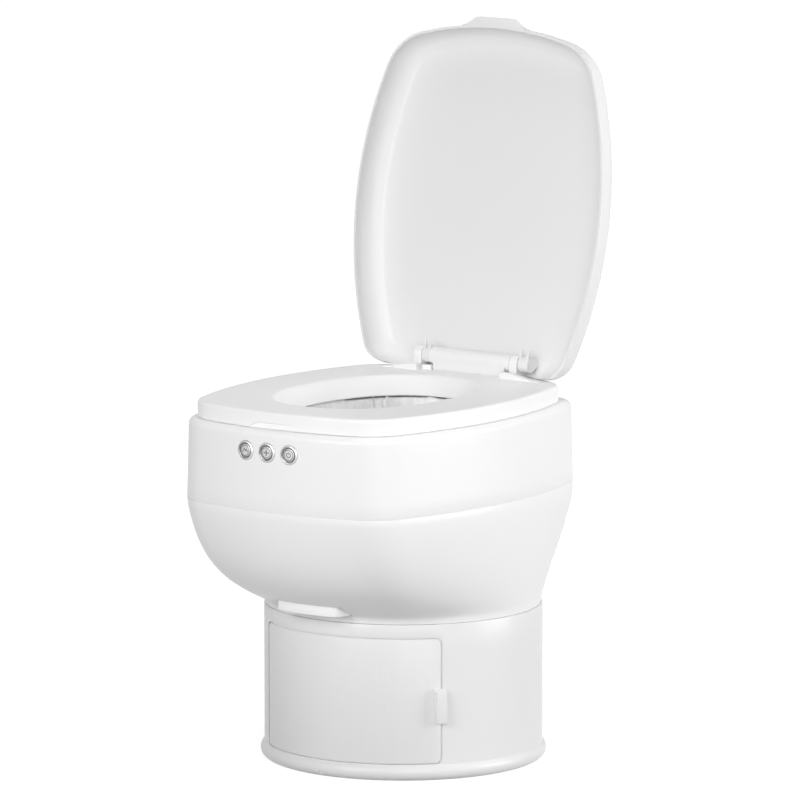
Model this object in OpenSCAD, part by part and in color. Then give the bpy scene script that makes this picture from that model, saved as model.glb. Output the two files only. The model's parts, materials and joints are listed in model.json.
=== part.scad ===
// Waterless toilet: a film-lined bowl with seat and lid that swivels on a round pedestal.
// The pedestal holds the collection bin behind a curved door.
// Millimetres. The origin is the pedestal's axis at floor level, +Z is up, the front faces -Y.

/* [Pedestal] */
// Outer radius of the pedestal wall
ped_r = 174; // [165:1:190]
// Height of the pedestal
ped_h = 195; // [185:1:230]
// Thickness of the pedestal wall
ped_wall = 5; // [4:0.5:6]
// Radius of the round bead at the foot
bead_r = 14; // [11:1:16]
// How far the bead stands out of the wall
bead_out = 6; // [4:0.5:8]
// Height of the bead's centre above the floor
bead_z = 12.5; // [10:0.5:14]
// Radius of the drop hole in the top flange
drop_r = 138; // [130:1:140]
// Thickness of the top flange
flange_t = 5; // [4:0.5:7]
// Thickness of the base plate
base_t = 6; // [4:0.5:8]
// Thickness of the foot flange that is screwed to the base plate
foot_t = 4; // [3:0.5:5]
// Inner radius of the foot flange
foot_in_r = 148; // [144:1:152]
// Radius of the circle of floor bolts
floor_bolt_r = 120; // [100:1:130]
// Number of floor bolts
floor_bolts = 4; // [3:1:8]
// Radius of each floor bolt hole
floor_hole_r = 3.25; // [2.5:0.25:5]

/* [Door and bin] */
// How far the door is turned from the front, towards the user's left
door_turn = 7; // [0:1:12]
// Width of the door opening, straight across
door_w = 246; // [230:1:250]
// Height of the opening's lower edge
door_low = 26; // [26:1:40]
// Height of the opening's upper edge
door_high = 180; // [160:1:183]
// Corner radius of the opening
door_corner = 7; // [3:1:14]
// Gap round the door
door_gap = 1.7; // [1:0.1:3]
// Distance of the hinge pins from the door's edge
pin_inset = 3.8; // [3:0.1:6]
// Radius of the hinge pins
door_pin_r = 1.25; // [1:0.05:1.5]
// Length of each hinge pin
door_pin_l = 20; // [16:1:24]
// Height of the pull
pull_h = 45; // [35:1:55]
// Width of the pull, straight across
pull_w = 13; // [10:0.5:16]
// How far the pull stands out
pull_out = 9; // [6:0.5:12]
// Degrees that the top of the pull slopes down outwards
pull_slope = 34; // [0:1:45]
// How far the left side of the pull leans in
pull_lean = 2.4; // [0:0.2:4]
// Height of the pull's lower edge
pull_low = 71; // [60:1:90]
// Radius of the bin's round ends
bin_r = 146; // [135:1:148]
// Width of the bin
bin_w = 192; // [170:1:194]
// Wall of the bin
bin_wall = 2.5; // [2:0.25:4]
// Height of the bin
bin_h = 140; // [110:1:145]

/* [Body] */
// Width of the body
body_w = 389; // [380:1:400]
// Reach of the body in front of the pedestal's axis
body_front = 283.5; // [278:0.5:290]
// Reach of the body behind the pedestal's axis
body_back = 182.5; // [180:0.5:190]
// Place of the widest line, in front of the pedestal's axis
wide_y = 46.8; // [40:0.2:54]
// Radius of the side arcs
side_r = 520; // [480:5:600]
// Radius of the front arc
front_r = 446; // [400:1:500]
// Radius of the front corners
front_c = 74; // [65:1:85]
// Radius of the rear arc
back_r = 443; // [400:1:600]
// Radius of the rear corners
back_c = 43; // [38:1:50]
// Wall of the body shells
body_wall = 4.5; // [4:0.5:5]
// Height of the parting line between the two shells
split_z = 344.5; // [335:0.5:355]
// Height of the rim that the seat lies on
rim_z = 444.6; // [440:0.2:450]
// Radius of the rim's outer edge
shoulder = 9; // [7:0.5:10]
// Draft of the upper shell over its whole height
draft = 2.3; // [1:0.1:3]
// Radius of the body where it meets the pedestal
neck_r = 171; // [168:0.5:173]
// Joint gaps between the fixed shells
seam = 0.6; // [0.4:0.1:1]

/* [Seat and lid] */
// How far the seat's edge lies inside the body's edge
seat_reveal = 13.3; // [11:0.1:16]
// Thickness of the seat
seat_t = 20.6; // [18:0.2:22]
// Reach of the seat behind the pedestal's axis
seat_back = 151.5; // [150:0.5:154]
// Width of the bowl opening at the seat's lower lip
lip_w = 186; // [176:1:190]
// Length of the bowl opening at the seat's lower lip
lip_l = 272; // [260:1:280]
// Place of the opening's centre, in front of the pedestal's axis
lip_y = 54; // [50:0.5:58]
// Width of the slope from the seat's top down to the lip
dish = 17; // [12:0.5:20]
// Depth of the lip below the seat's bottom
lip_drop = 4.4; // [2:0.2:5]
// How far the lid's edge lies outside the seat's edge
lid_over = 8; // [5:0.5:9]
// Height of the closed lid above the seat
lid_h = 36; // [33:0.5:40]
// Wall of the lid
lid_wall = 3; // [2.5:0.25:4]
// Width of the lift tab at its root
tab_w = 100; // [80:1:120]
// How far the lift tab stands out
tab_out = 10; // [6:0.5:12]

/* [Seat hinge] */
// Place of the hinge axis, behind the pedestal's axis
hinge_y = 141.8; // [139:0.2:143]
// Height of the hinge axis above the seat's top
hinge_up = 17; // [16.5:0.1:18]
// Radius of the hinge barrel
barrel_r = 11; // [10:0.25:12]
// Radius of the hinge pin
hinge_pin_r = 4; // [3:0.1:5]
// How far the lid is open at rest, from closed
lid_open = 99.2; // [92:0.2:102]
// Radius of the soft-close dampers
damper_r = 8; // [7:0.1:8.5]

/* [Film and sealing unit] */
// Depth of the film cassette below the rim
cassette_d = 41; // [35:0.5:45]
// Radius of the bowl's outlet
outlet_r = 59; // [50:1:62]
// Place of the outlet's centre, in front of the pedestal's axis
outlet_y = 11; // [6:0.5:16]
// Height of the bowl's outlet
outlet_z = 283; // [280:1:300]
// Half the length of the sealing jaws
jaw_half = 78; // [70:1:80]
// Height of the jaws
jaw_h = 20; // [14:1:24]
// Height of the jaws' middle, and of the rods and the screw
jaw_z = 250; // [246:1:256]
// Radius of the guide rods and of the lead screw
rod_r = 5; // [4:0.25:6]
// Place of the guide rods, each side of the middle
rod_x = 88; // [84:0.5:92]
// Place of the lead screw
screw_x = 108; // [105:0.5:109]
// Radius of the gear motor
motor_r = 15; // [12:0.5:16]

/* [Controls] */
// Distance between the push buttons
button_step = 33; // [30:0.5:40]
// Height of the push buttons
button_z = 418; // [405:0.5:422]
// Radius of the buttons' metal rings
button_ring_r = 12.3; // [11:0.1:13]
// Radius of the button caps
button_r = 8; // [6:0.1:8.5]
// Travel of the buttons
button_travel = 2; // [1:0.25:3]
// Height of the power socket on the rear
socket_z = 375; // [365:1:400]
// Radius of the power socket's bore
socket_r = 4; // [3:0.25:5]
// Width of the release tab under the bowl
release_w = 96; // [80:1:110]
// Height of the release tab
release_h = 13; // [10:0.5:14]
// Reach of the release tab from the pedestal's axis
release_r = 202; // [195:0.5:206]

/* [Hidden] */
$fn = 64;

white = [0.95, 0.95, 0.95];
grey = [0.75, 0.76, 0.78];
dark = [0.25, 0.26, 0.28];
steel = [0.72, 0.73, 0.75];

// Clearances: a hair between fixed faces, a moving face's gap, and a running fit in a bore
hair = 0.2;
run = 0.5;
fit = 0.05;
through = 1;

// Points in each side, corner and end arc of a quarter outline
side_n = 4;
corner_n = 8;
end_n = 4;

/* Derived heights and places */
neck_z = ped_h + seam;
slide_t = 1.5;
slide_z = ped_h + slide_t;
swivel_z = slide_z + 0.3;
swivel_t = 5.2;
floor_z = swivel_z + swivel_t;
floor_t = 4;
floor_r = 146.5;
seat_z = rim_z + 0.8;
seat_top = seat_z + seat_t;
hinge_z = seat_top + hinge_up;
lid_z = seat_top + 0.4;
deck_t = 3.6;
deck_top = rim_z - hair;
cassette_z = rim_z - cassette_d;
wall_mid_r = ped_r - ped_wall / 2;
door_half = door_w / 2 - door_gap;
door_pin_x = -(door_half - pin_inset);
door_pin_y = -sqrt(wall_mid_r * wall_mid_r - door_pin_x * door_pin_x);
bin_z = door_low + 1.3;
bore_r = hinge_pin_r + fit;

/* Curves */
function arc(c, r, a, b, n) =
    [for (i = [0 : n - 1]) let (t = a + (b - a) * i / n) [c.x + r * cos(t), c.y + r * sin(t)]];

// Centre of the corner arc that runs smoothly into a side arc and an end arc
function corner_centre(w, rs, l, re, rc) =
    let (s = [w - rs, 0], e = [0, l - re], v = e - s, d = norm(v), d1 = rs - rc, d2 = re - rc,
        t = (d1 * d1 - d2 * d2 + d * d) / (2 * d), h = sqrt(d1 * d1 - t * t), u = v / d,
        side = [-u.y, u.x], p = s + u * t + side * h, q = s + u * t - side * h)
    p.x + p.y > q.x + q.y ? p : q;

// A quarter outline from the widest point (w, 0) to just before the end (0, l)
function quarter(w, rs, l, re, rc) =
    let (c = corner_centre(w, rs, l, re, rc), a1 = atan2(c.y, c.x - w + rs), a2 = atan2(c.y - l + re, c.x))
    concat(arc([w - rs, 0], rs, 0, a1, side_n), arc(c, rc, a1, a2, corner_n),
        arc([0, l - re], re, a2, 90, end_n));

function tail(list) = [for (i = [1 : len(list) - 1]) list[i]];
function turned(list) = [for (i = [len(list) - 1 : -1 : 0]) list[i]];
function mirrored(list, x, y) = [for (p = list) [p.x * x, p.y * y]];

// A whole outline from a rear quarter and a front quarter, widest at y = -wide_y
function outline(rear, front, lr, lf) =
    let (half = concat(rear, [[0, lr]], turned(mirrored(rear, -1, 1)),
            tail(mirrored(front, -1, -1)), [[0, -lf]], turned(tail(mirrored(front, 1, -1)))))
    [for (p = half) [p.x, p.y - wide_y]];

front_l = body_front - wide_y;
function front_quarter(o) = quarter(body_w / 2 + o, side_r + o, front_l + o, front_r + o, front_c + o);

// Outlines of the body, the seat and the lid, offset by o
function body_ring(o) =
    let (l = body_back + wide_y + o)
    outline(quarter(body_w / 2 + o, side_r + o, l, back_r + o, back_c + o), front_quarter(o), l, front_l + o);

rear_arc_r = 1500;
rear_corner_r = 60;
function seat_ring(o) =
    let (l = seat_back + wide_y + o, i = o - seat_reveal)
    outline(quarter(body_w / 2 + i, side_r + i, l, rear_arc_r + o, rear_corner_r + o),
        front_quarter(i), l, front_l + i);
function lid_ring(o) = body_ring(o - seat_reveal + lid_over);

function lift(ring, z) = [for (p = ring) [p.x, p.y, z]];
function bearings(y) = [for (p = body_ring(0)) atan2(p.y + y, p.x)];
body_angles = bearings(wide_y);
lip_angles = bearings(lip_y);

// Circles and ovals with one point for each point of the outlines
function round_ring(r, y, z) = [for (a = body_angles) [r * cos(a), r * sin(a) - y, z]];
oval_n = 2.25;
function oval_ring(o, z) =
    let (w = lip_w / 2 + o, l = lip_l / 2 + o)
    [for (a = lip_angles)
        let (r = pow(pow(abs(cos(a)) / w, oval_n) + pow(abs(sin(a)) / l, oval_n), -1 / oval_n))
        [r * cos(a), r * sin(a) - lip_y, z]];
function mix(a, b, t) = [for (i = [0 : len(a) - 1]) a[i] * (1 - t) + b[i] * t];

/* Solids from rings of points */
module skin(rings, closed = false) {
    n = len(rings[0]);
    m = len(rings);
    last = closed ? m - 1 : m - 2;
    sides = [for (i = [0 : last]) for (j = [0 : n - 1])
        let (k = (j + 1) % n, u = (i + 1) % m, a = i * n + j, b = u * n + j, c = u * n + k, d = i * n + k)
        each [[a, b, c], [a, c, d]]];
    ends = closed ? [] : [[for (j = [0 : n - 1]) j], [for (j = [n - 1 : -1 : 0]) (m - 1) * n + j]];
    polyhedron(points = [for (r = rings) each r], faces = concat(sides, ends));
}

module ring(r1, r2, z1, z2) {
    translate([0, 0, z1]) difference() {
        cylinder(r = r2, h = z2 - z1, $fn = 128);
        translate([0, 0, -through]) cylinder(r = r1, h = z2 - z1 + 2 * through, $fn = 128);
    }
}

module rounded_rect(w, h, r) {
    translate([-w / 2, r]) square([w, h - 2 * r]);
    translate([-w / 2 + r, 0]) square([w - 2 * r, h]);
    for (x = [-1, 1], z = [r, h - r]) translate([x * (w / 2 - r), z]) circle(r = r);
}

// A pan-head screw: its head stands on z = 0, its shank goes down
module screw(shank_r, shank_l, head_r, head_h) {
    cylinder(r = head_r, h = head_h);
    translate([0, 0, -shank_l]) cylinder(r = shank_r, h = shank_l + head_h / 2);
}

module on_circle(r, n, first = 0) {
    for (i = [0 : n - 1]) rotate([0, 0, first + i * 360 / n]) translate([r, 0, 0]) children();
}

/* Pedestal */
base_r = ped_r - ped_wall - 0.3;
base_screw_r = (foot_in_r + base_r) / 2;
base_screw_n = 6;
base_shank = 2;
head_r = 3.8;
head_h = 2.2;
low_head_h = 1.2;
thread_l = 3.5;
gasket_in_r = 150;
gasket_w = 12;
gasket_t = 2;

module base_plate() {
    color(grey) difference() {
        cylinder(r = base_r, h = base_t, $fn = 128);
        on_circle(floor_bolt_r, floor_bolts, 45 + door_turn)
            translate([0, 0, -through]) cylinder(r = floor_hole_r, h = base_t + 2 * through);
        on_circle(base_screw_r, base_screw_n, 15)
            translate([0, 0, gasket_t]) cylinder(r = base_shank + fit, h = base_t);
        translate([0, 0, -through]) ring(gasket_in_r, gasket_in_r + gasket_w, 0, gasket_t + through);
    }
}

module floor_gasket() {
    color(dark) ring(gasket_in_r + hair, gasket_in_r + gasket_w - hair, 0, gasket_t);
}

module base_screws() {
    color(steel) on_circle(base_screw_r, base_screw_n, 15)
        translate([0, 0, base_t + foot_t]) screw(base_shank, foot_t + thread_l - 0.5, head_r, head_h);
}

// The prism that cuts the door opening, drawn in by g all round
module door_prism(g) {
    rotate([0, 0, door_turn]) translate([0, -ped_r * 0.55, door_low + g])
        rotate([90, 0, 0]) linear_extrude(ped_r * 0.5 + bead_out)
            rounded_rect(door_w - 2 * g, door_high - door_low - 2 * g, door_corner - g);
}

module at_door_pins() {
    rotate([0, 0, door_turn]) translate([door_pin_x, door_pin_y, 0]) children();
}
pin_low_z = door_low + door_gap - door_pin_l / 2;
pin_high_z = door_high - door_gap - door_pin_l / 2;

module pedestal_shell() {
    color(white) difference() {
        rotate_extrude($fn = 128) {
            translate([ped_r - ped_wall, 0]) square([ped_wall, ped_h]);
            intersection() {
                translate([ped_r + bead_out - bead_r, bead_z]) circle(r = bead_r);
                translate([ped_r - ped_wall, 0]) square([ped_wall + bead_out, bead_z + bead_r]);
            }
            translate([drop_r, ped_h - flange_t]) square([ped_r - drop_r - through, flange_t]);
            translate([foot_in_r, base_t]) square([ped_r - foot_in_r - through, foot_t]);
        }
        door_prism(0);
        at_door_pins() for (z = [pin_low_z, pin_high_z])
            translate([0, 0, z]) cylinder(r = door_pin_r, h = door_pin_l);
        on_circle(base_screw_r, base_screw_n, 15)
            translate([0, 0, base_t - through]) cylinder(r = base_shank + hair, h = foot_t + 2 * through);
    }
}

module door_pins() {
    color(steel) at_door_pins() for (z = [pin_low_z, pin_high_z])
        translate([0, 0, z]) cylinder(r = door_pin_r, h = door_pin_l);
}

rail_x = 70;
rail_w = 12;
rail_l = 220;
module bin_rails() {
    color(grey) rotate([0, 0, door_turn]) for (x = [-1, 1])
        translate([x * rail_x - rail_w / 2, -rail_l / 2, base_t])
            cube([rail_w, rail_l, bin_z - 0.3 - base_t]);
}

slide_in_r = drop_r + 4;
slide_out_r = 164;
module slide_ring() {
    color(grey) ring(slide_in_r, slide_out_r, ped_h, slide_z);
}

// A block bounded by two circles about the axis and two straight cuts across the door's direction
module arc_block(r1, r2, x1, x2, z1, z2) {
    rotate([0, 0, door_turn]) intersection() {
        ring(r1, r2, z1, z2);
        translate([x1, -r2 - through, z1 - through]) cube([x2 - x1, r2, z2 - z1 + 2 * through]);
    }
}

latch_z = 94;
latch_h = 20;
latch_inset = 26;
magnet_x = door_w / 2 - latch_inset;
magnet_t = 8;
strike_t = 2.4;
strike_w = 15;
door_in_r = ped_r - ped_wall;
magnet_r = door_in_r - strike_t - 0.6;
module latch_magnet() {
    color(dark) union() {
        arc_block(magnet_r - magnet_t, magnet_r, magnet_x, door_w / 2 + 3, latch_z, latch_z + latch_h);
        arc_block(magnet_r - magnet_t, door_in_r - fit, door_w / 2 + 1, door_w / 2 + 9, latch_z, latch_z + latch_h);
    }
}

module strike_plate() {
    color(steel) arc_block(door_in_r - strike_t, door_in_r - fit, magnet_x, magnet_x + strike_w,
        latch_z + 2, latch_z + latch_h - 2);
}

pull_x = door_half - pull_w / 2;
door_clear = 0.6;
pull_screw_r = 1.5;
pull_screw_l = ped_wall + 5;
pull_head_r = 2.6;
pull_head_h = 1.6;
pull_angle = asin((pull_x + door_half) / 2 / wall_mid_r);
module at_pull_screws() {
    rotate([0, 0, door_turn + pull_angle]) for (z = [0.25, 0.75])
        translate([0, fit - door_in_r, pull_low + pull_h * z]) rotate([90, 0, 0]) children();
}

module door_panel() {
    color(white) difference() {
        intersection() {
            ring(ped_r - ped_wall, ped_r, door_low, door_high);
            door_prism(door_gap);
        }
        at_door_pins() {
            translate([0, 0, pin_low_z]) cylinder(r = door_pin_r + fit, h = door_pin_l + 1);
            translate([0, 0, pin_high_z - 1]) cylinder(r = door_pin_r + fit, h = door_pin_l + 2);
        }
        at_pull_screws() translate([0, 0, -through]) cylinder(r = pull_screw_r + fit, h = ped_wall + 2 * through);
    }
}

// Seen from above, the pull stands square to the wall over its screws, and its right side overhangs the door
module door_pull() {
    left = -pull_w / 2;
    right = left + pull_lean + pull_w;
    color(white) difference() {
        intersection() {
            ring(ped_r + fit, ped_r + pull_out, pull_low, pull_low + pull_h);
            rotate([0, 0, door_turn + pull_angle]) translate([0, -ped_r, pull_low - through])
                linear_extrude(pull_h + 2 * through)
                    polygon([[left, fit + 1], [left, 0], [left + pull_lean, -pull_out],
                        [left + pull_lean, -2 * pull_out], [right, -2 * pull_out], [right, fit + 1]]);
        }
        arc_block(ped_r - through, ped_r + door_clear, door_half - through, door_half + pull_w,
            pull_low - through, pull_low + pull_h + through);
        rotate([0, 0, door_turn + pull_angle]) translate([-pull_w * 2, -ped_r - 2, pull_low + pull_h])
            rotate([pull_slope, 0, 0]) translate([0, -pull_out * 3, 0]) cube([pull_w * 4, pull_out * 3, pull_out * 2]);
        at_pull_screws() cylinder(r = pull_screw_r + fit, h = pull_screw_l + fit);
    }
}

module pull_screws() {
    color(steel) at_pull_screws() mirror([0, 0, 1]) screw(pull_screw_r, pull_screw_l, pull_head_r, pull_head_h);
}

module bin_section(o) {
    intersection() {
        circle(r = bin_r + o, $fn = 128);
        square([bin_w + 2 * o, 2 * bin_r + 10], center = true);
    }
}

module collection_bin() {
    color(dark) rotate([0, 0, door_turn]) translate([0, 0, bin_z]) difference() {
        linear_extrude(bin_h) bin_section(0);
        translate([0, 0, bin_wall]) linear_extrude(bin_h) bin_section(-bin_wall);
    }
}

grip_w = 84;
grip_out = 12;
grip_h = 8;
module bin_grip() {
    color(dark) rotate([0, 0, door_turn]) translate([0, 0, bin_z + bin_h - 26]) difference() {
        intersection() {
            ring(bin_r, bin_r + grip_out, 0, grip_h);
            translate([-grip_w / 2, -bin_r - 2 * grip_out, 0]) cube([grip_w, bin_r, grip_h]);
        }
        intersection() {
            translate([0, 0, -through]) ring(bin_r - through, bin_r + grip_out - 3, 0, grip_h + 2 * through);
            translate([-grip_w / 2 + 6, -bin_r - 2 * grip_out, -through])
                cube([grip_w - 12, bin_r, grip_h + 2 * through]);
        }
    }
}

/* Swivel */
swivel_in_r = drop_r - 4;
swivel_out_r = neck_r - 5;
ring_screw_r = 158;
ring_screw_n = 6;
claw_n = 3;
claw_first = 78;
claw_arc = 24;
claw_t = 3;
claw_foot = 10;
claw_top = 14;
claw_screw_r = swivel_in_r + 5.5;
module swivel_ring() {
    color(grey) difference() {
        ring(swivel_in_r, swivel_out_r, swivel_z, floor_z);
        on_circle(ring_screw_r, ring_screw_n, 10)
            translate([0, 0, swivel_z + through]) cylinder(r = base_shank + fit, h = swivel_t);
        on_circle(claw_screw_r, claw_n, claw_first + claw_arc / 2)
            translate([0, 0, swivel_z + through]) cylinder(r = base_shank + fit, h = swivel_t);
    }
}

// Claws that hang from the ring and reach under the pedestal's top flange
module swivel_claws() {
    low = ped_h - flange_t - run - claw_foot / 2;
    color(grey) for (i = [0 : claw_n - 1]) rotate([0, 0, claw_first + i * 360 / claw_n]) difference() {
        rotate_extrude(angle = claw_arc, $fn = 128) {
            translate([swivel_in_r - claw_t, low]) square([claw_t - hair, floor_z + claw_t - low]);
            translate([swivel_in_r - claw_t, low]) square([claw_t + claw_foot, claw_foot / 2]);
            translate([swivel_in_r - claw_t, floor_z]) square([claw_top, claw_t]);
        }
        rotate([0, 0, claw_arc / 2]) translate([claw_screw_r, 0, floor_z - through])
            cylinder(r = base_shank + fit, h = claw_t + 2 * through);
    }
}

module ring_screws() {
    color(steel) {
        on_circle(ring_screw_r, ring_screw_n, 10)
            translate([0, 0, floor_z + floor_t]) screw(base_shank, floor_t + thread_l, head_r, head_h);
        on_circle(claw_screw_r, claw_n, claw_first + claw_arc / 2)
            translate([0, 0, floor_z + claw_t]) screw(base_shank, claw_t + thread_l, head_r, low_head_h);
    }
}

/* Body shells */
// How far the section has grown from the round neck (0) to the full outline (1), t from neck to seam
fillet = 0.045;
function grow_front(t) =
    let (u = (t - 0.06) / 0.94, b = 1 - 0.62 * pow(1 - u, 4.2) - 0.38 * pow(1 - u, 1.3))
    min(1, (b + sqrt(b * b + 4 * fillet * fillet)) / 2);
function grow_back(t) = 1 - 0.955 * pow(1 - min(t / 0.92, 1), 1.25);

// Section of the lower shell at height z, drawn in by o
function belly_ring(z, o) =
    let (t = (z - neck_z) / (split_z - neck_z), ring = body_ring(-o), f = grow_front(t), b = grow_back(t))
    [for (i = [0 : len(ring) - 1])
        let (a = body_angles[i], g = (1 - sin(a)) / 2, w = g * f + (1 - g) * b,
            x = (neck_r - o) * cos(a), y = (neck_r - o) * sin(a))
        [x + (ring[i].x - x) * w, y + (ring[i].y - y) * w, z]];

belly_steps = [0.02, 0.045, 0.07, 0.105, 0.145, 0.19, 0.25, 0.325, 0.42, 0.54, 0.7, 0.85];
function belly_z(t) = neck_z + t * (split_z - neck_z);
lip_in = 0.3;
tongue_h = 7;
tongue_t = 2;
belly_top = split_z - seam / 2;
upper_low = split_z + seam / 2;

module lower_housing() {
    outer = concat([belly_ring(neck_z, 0)], [for (t = belly_steps) belly_ring(belly_z(t), 0)],
        [lift(body_ring(0), belly_top)]);
    tongue = [lift(body_ring(-body_wall - lip_in), belly_top),
        lift(body_ring(-body_wall - lip_in), belly_top + tongue_h),
        lift(body_ring(-body_wall - lip_in - tongue_t), belly_top + tongue_h),
        lift(body_ring(-body_wall - lip_in - tongue_t), belly_top - 4)];
    inner = [for (t = turned(belly_steps)) if (belly_z(t) > floor_z + floor_t + 2) belly_ring(belly_z(t), body_wall)];
    bottom = [belly_ring(floor_z + floor_t, body_wall), round_ring(floor_r, 0, floor_z + floor_t),
        round_ring(floor_r, 0, floor_z), belly_ring(floor_z, body_wall), belly_ring(neck_z, body_wall)];
    color(white) difference() {
        skin(concat(outer, tongue, inner, bottom), closed = true);
        release_slot();
        on_circle(ring_screw_r, ring_screw_n, 10)
            translate([0, 0, floor_z - through]) cylinder(r = base_shank + hair, h = floor_t + 2 * through);
        at_frame_screws() translate([0, 0, -frame_t - floor_t - 2 * through])
            cylinder(r = base_shank + fit, h = floor_t + 2 * through);
    }
}

shoulder_z = rim_z - shoulder;
rim_in = 24;
ledge_in = 30;
ledge_z = rim_z - deck_t - 2 * hair;
front_cy = front_r - body_front;

// Places something on the front wall at x, with its own z axis pointing out of the wall
module on_front(x) {
    r = front_r - draft * (button_z - split_z) / (shoulder_z - split_z);
    translate([0, front_cy, button_z]) rotate([0, 0, asin(x / r)]) translate([0, -r, 0])
        rotate([90, 0, 0]) children();
}

socket_y = body_back - draft * (socket_z - split_z) / (shoulder_z - split_z);
module on_back() {
    translate([0, socket_y, socket_z]) rotate([-90, 0, 0]) children();
}

ring_neck_r = button_ring_r - 1.8;
module upper_housing() {
    bend = [for (a = [22.5 : 22.5 : 90])
        lift(body_ring(-draft - shoulder * (1 - cos(a))), shoulder_z + shoulder * sin(a))];
    rings = concat([lift(body_ring(0), upper_low), lift(body_ring(-draft), shoulder_z)], bend,
        [lift(body_ring(-rim_in), rim_z), lift(body_ring(-rim_in), ledge_z),
        lift(body_ring(-ledge_in), ledge_z), lift(body_ring(-ledge_in), ledge_z - 3.5),
        lift(body_ring(-draft - shoulder), ledge_z - 3.5),
        lift(body_ring(-draft - body_wall), ledge_z - 9), lift(body_ring(-body_wall), upper_low)]);
    color(white) difference() {
        skin(rings, closed = true);
        for (i = [-1 : 1]) on_front(i * button_step) {
            translate([0, 0, -3 * body_wall]) cylinder(r = ring_neck_r + fit, h = 4 * body_wall);
            translate([0, 0, -1]) cylinder(r = button_ring_r + hair, h = 4);
        }
        on_back() {
            translate([0, 0, -3 * body_wall]) cylinder(r = inlet_neck_r + fit, h = 4 * body_wall);
            translate([0, 0, -1]) cylinder(r = inlet_r + hair, h = 4);
        }
    }
}

/* Deck, film and bowl */
skirt_in = 25;
skirt_t = 3;
cassette_seat = 28.6;
module top_deck() {
    low = deck_top - deck_t;
    rings = [lift(body_ring(-rim_in - hair * 2), low), lift(body_ring(-rim_in - hair * 2), deck_top),
        oval_ring(cassette_seat, deck_top), oval_ring(cassette_seat, low + 0.8),
        oval_ring(skirt_in, low + 0.8), oval_ring(skirt_in, cassette_z - hair),
        oval_ring(skirt_in + skirt_t, cassette_z - hair), oval_ring(skirt_in + skirt_t, low)];
    color(white) difference() {
        skin(rings, closed = true);
        at_saddle_screws() translate([0, 0, deck_top - deck_t - through])
            cylinder(r = base_shank + fit, h = deck_t + 2 * through);
    }
}

channel_in = 9;
channel_out = skirt_in - 0.5;
channel_wall = 2;
inner_top = rim_z - 10.6;
module film_cassette() {
    top = rim_z - 0.5;
    rings = [oval_ring(channel_out, cassette_z), oval_ring(channel_out, top - 2.3),
        oval_ring(cassette_seat - 0.4, top - 2.3), oval_ring(cassette_seat - 0.4, top),
        oval_ring(channel_out - channel_wall, top),
        oval_ring(channel_out - channel_wall, cassette_z + channel_wall),
        oval_ring(channel_in + channel_wall, cassette_z + channel_wall),
        oval_ring(channel_in + channel_wall, inner_top), oval_ring(channel_in, inner_top),
        oval_ring(channel_in, cassette_z)];
    color(grey) skin(rings, closed = true);
}

module oval_loop(o1, o2, z1, z2) {
    skin([oval_ring(o2, z1), oval_ring(o2, z2), oval_ring(o1, z2), oval_ring(o1, z1)], closed = true);
}

module cassette_cover() {
    color(white) oval_loop(channel_in + hair, channel_out - channel_wall - hair, inner_top + hair, inner_top + 2);
}

module film_pack() {
    color(white) oval_loop(channel_in + channel_wall + 0.8, channel_out - channel_wall - 0.8,
        cassette_z + channel_wall + hair, inner_top - 1.5);
}

// Section of the bowl between the cassette and the outlet, drawn in by o
bowl_top = cassette_z - 2 * hair;
bowl_in = 4;
function bowl_ring(t, o) =
    mix(oval_ring(bowl_in - o, bowl_top), round_ring(outlet_r - o, outlet_y, outlet_z), t);

bowl_steps = [0.86, 0.7, 0.55, 0.4, 0.25];
funnel_t = 3;
module bowl_funnel() {
    flange_low = bowl_top - 3.2;
    t_low = (bowl_top - flange_low) / (bowl_top - outlet_z);
    rings = concat([for (t = concat(1, bowl_steps, t_low)) bowl_ring(t, -funnel_t)],
        [oval_ring(skirt_in + skirt_t, flange_low), oval_ring(skirt_in + skirt_t, bowl_top)],
        [for (t = turned(concat(1, bowl_steps, 0))) bowl_ring(t, 0)]);
    color(white) skin(rings, closed = true);
}

// The film hangs from the cassette down the bowl to its last seal above the jaws
film_gap = 1;
film_t = 0.8;
function film_foot(r, drop) = round_ring(r, outlet_y, outlet_z + 8 - drop);
module film_liner() {
    steps = concat(bowl_steps, 0);
    rings = concat([film_foot(9, 4.5), film_foot(34, 1)],
        [for (t = steps) bowl_ring(t, film_gap)],
        [oval_ring(channel_in - hair, inner_top), oval_ring(channel_in - hair - film_t, inner_top)],
        [for (t = turned(steps)) bowl_ring(t, film_gap + film_t)],
        [film_foot(34 - film_t, 0), film_foot(9, 3.5)]);
    color([0.93, 0.94, 0.95, 0.6]) skin(rings);
}

/* Sealing unit */
frame_z = floor_z + floor_t + 0.3;
frame_t = 4.5;
frame_half = 118;
frame_front = -112;
frame_rear = 107;
plate_t = 6;
rear_plate_y = 76;
jaw_d = 16;
pad_t = 2.5;
strip_t = 1;
fixed_face = rear_plate_y - 18;
open_face = -82;
jaw_travel = fixed_face - strip_t - open_face - pad_t - 0.5;
chute_low_y = open_face + 2;
frame_top = jaw_z + 25;
rod_low_y = frame_front - 3;
rod_high_y = rear_plate_y + plate_t + 3;

module along_y(x, y1, y2, r) {
    translate([x, y1, jaw_z]) rotate([-90, 0, 0]) cylinder(r = r, h = y2 - y1);
}

frame_inset = 5.5;
module at_frame_screws() {
    for (s = [-1, 1], y = [frame_front + plate_t + frame_inset, frame_rear - frame_inset])
        translate([s * (frame_half - frame_inset), y, frame_z + frame_t]) children();
}

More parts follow.
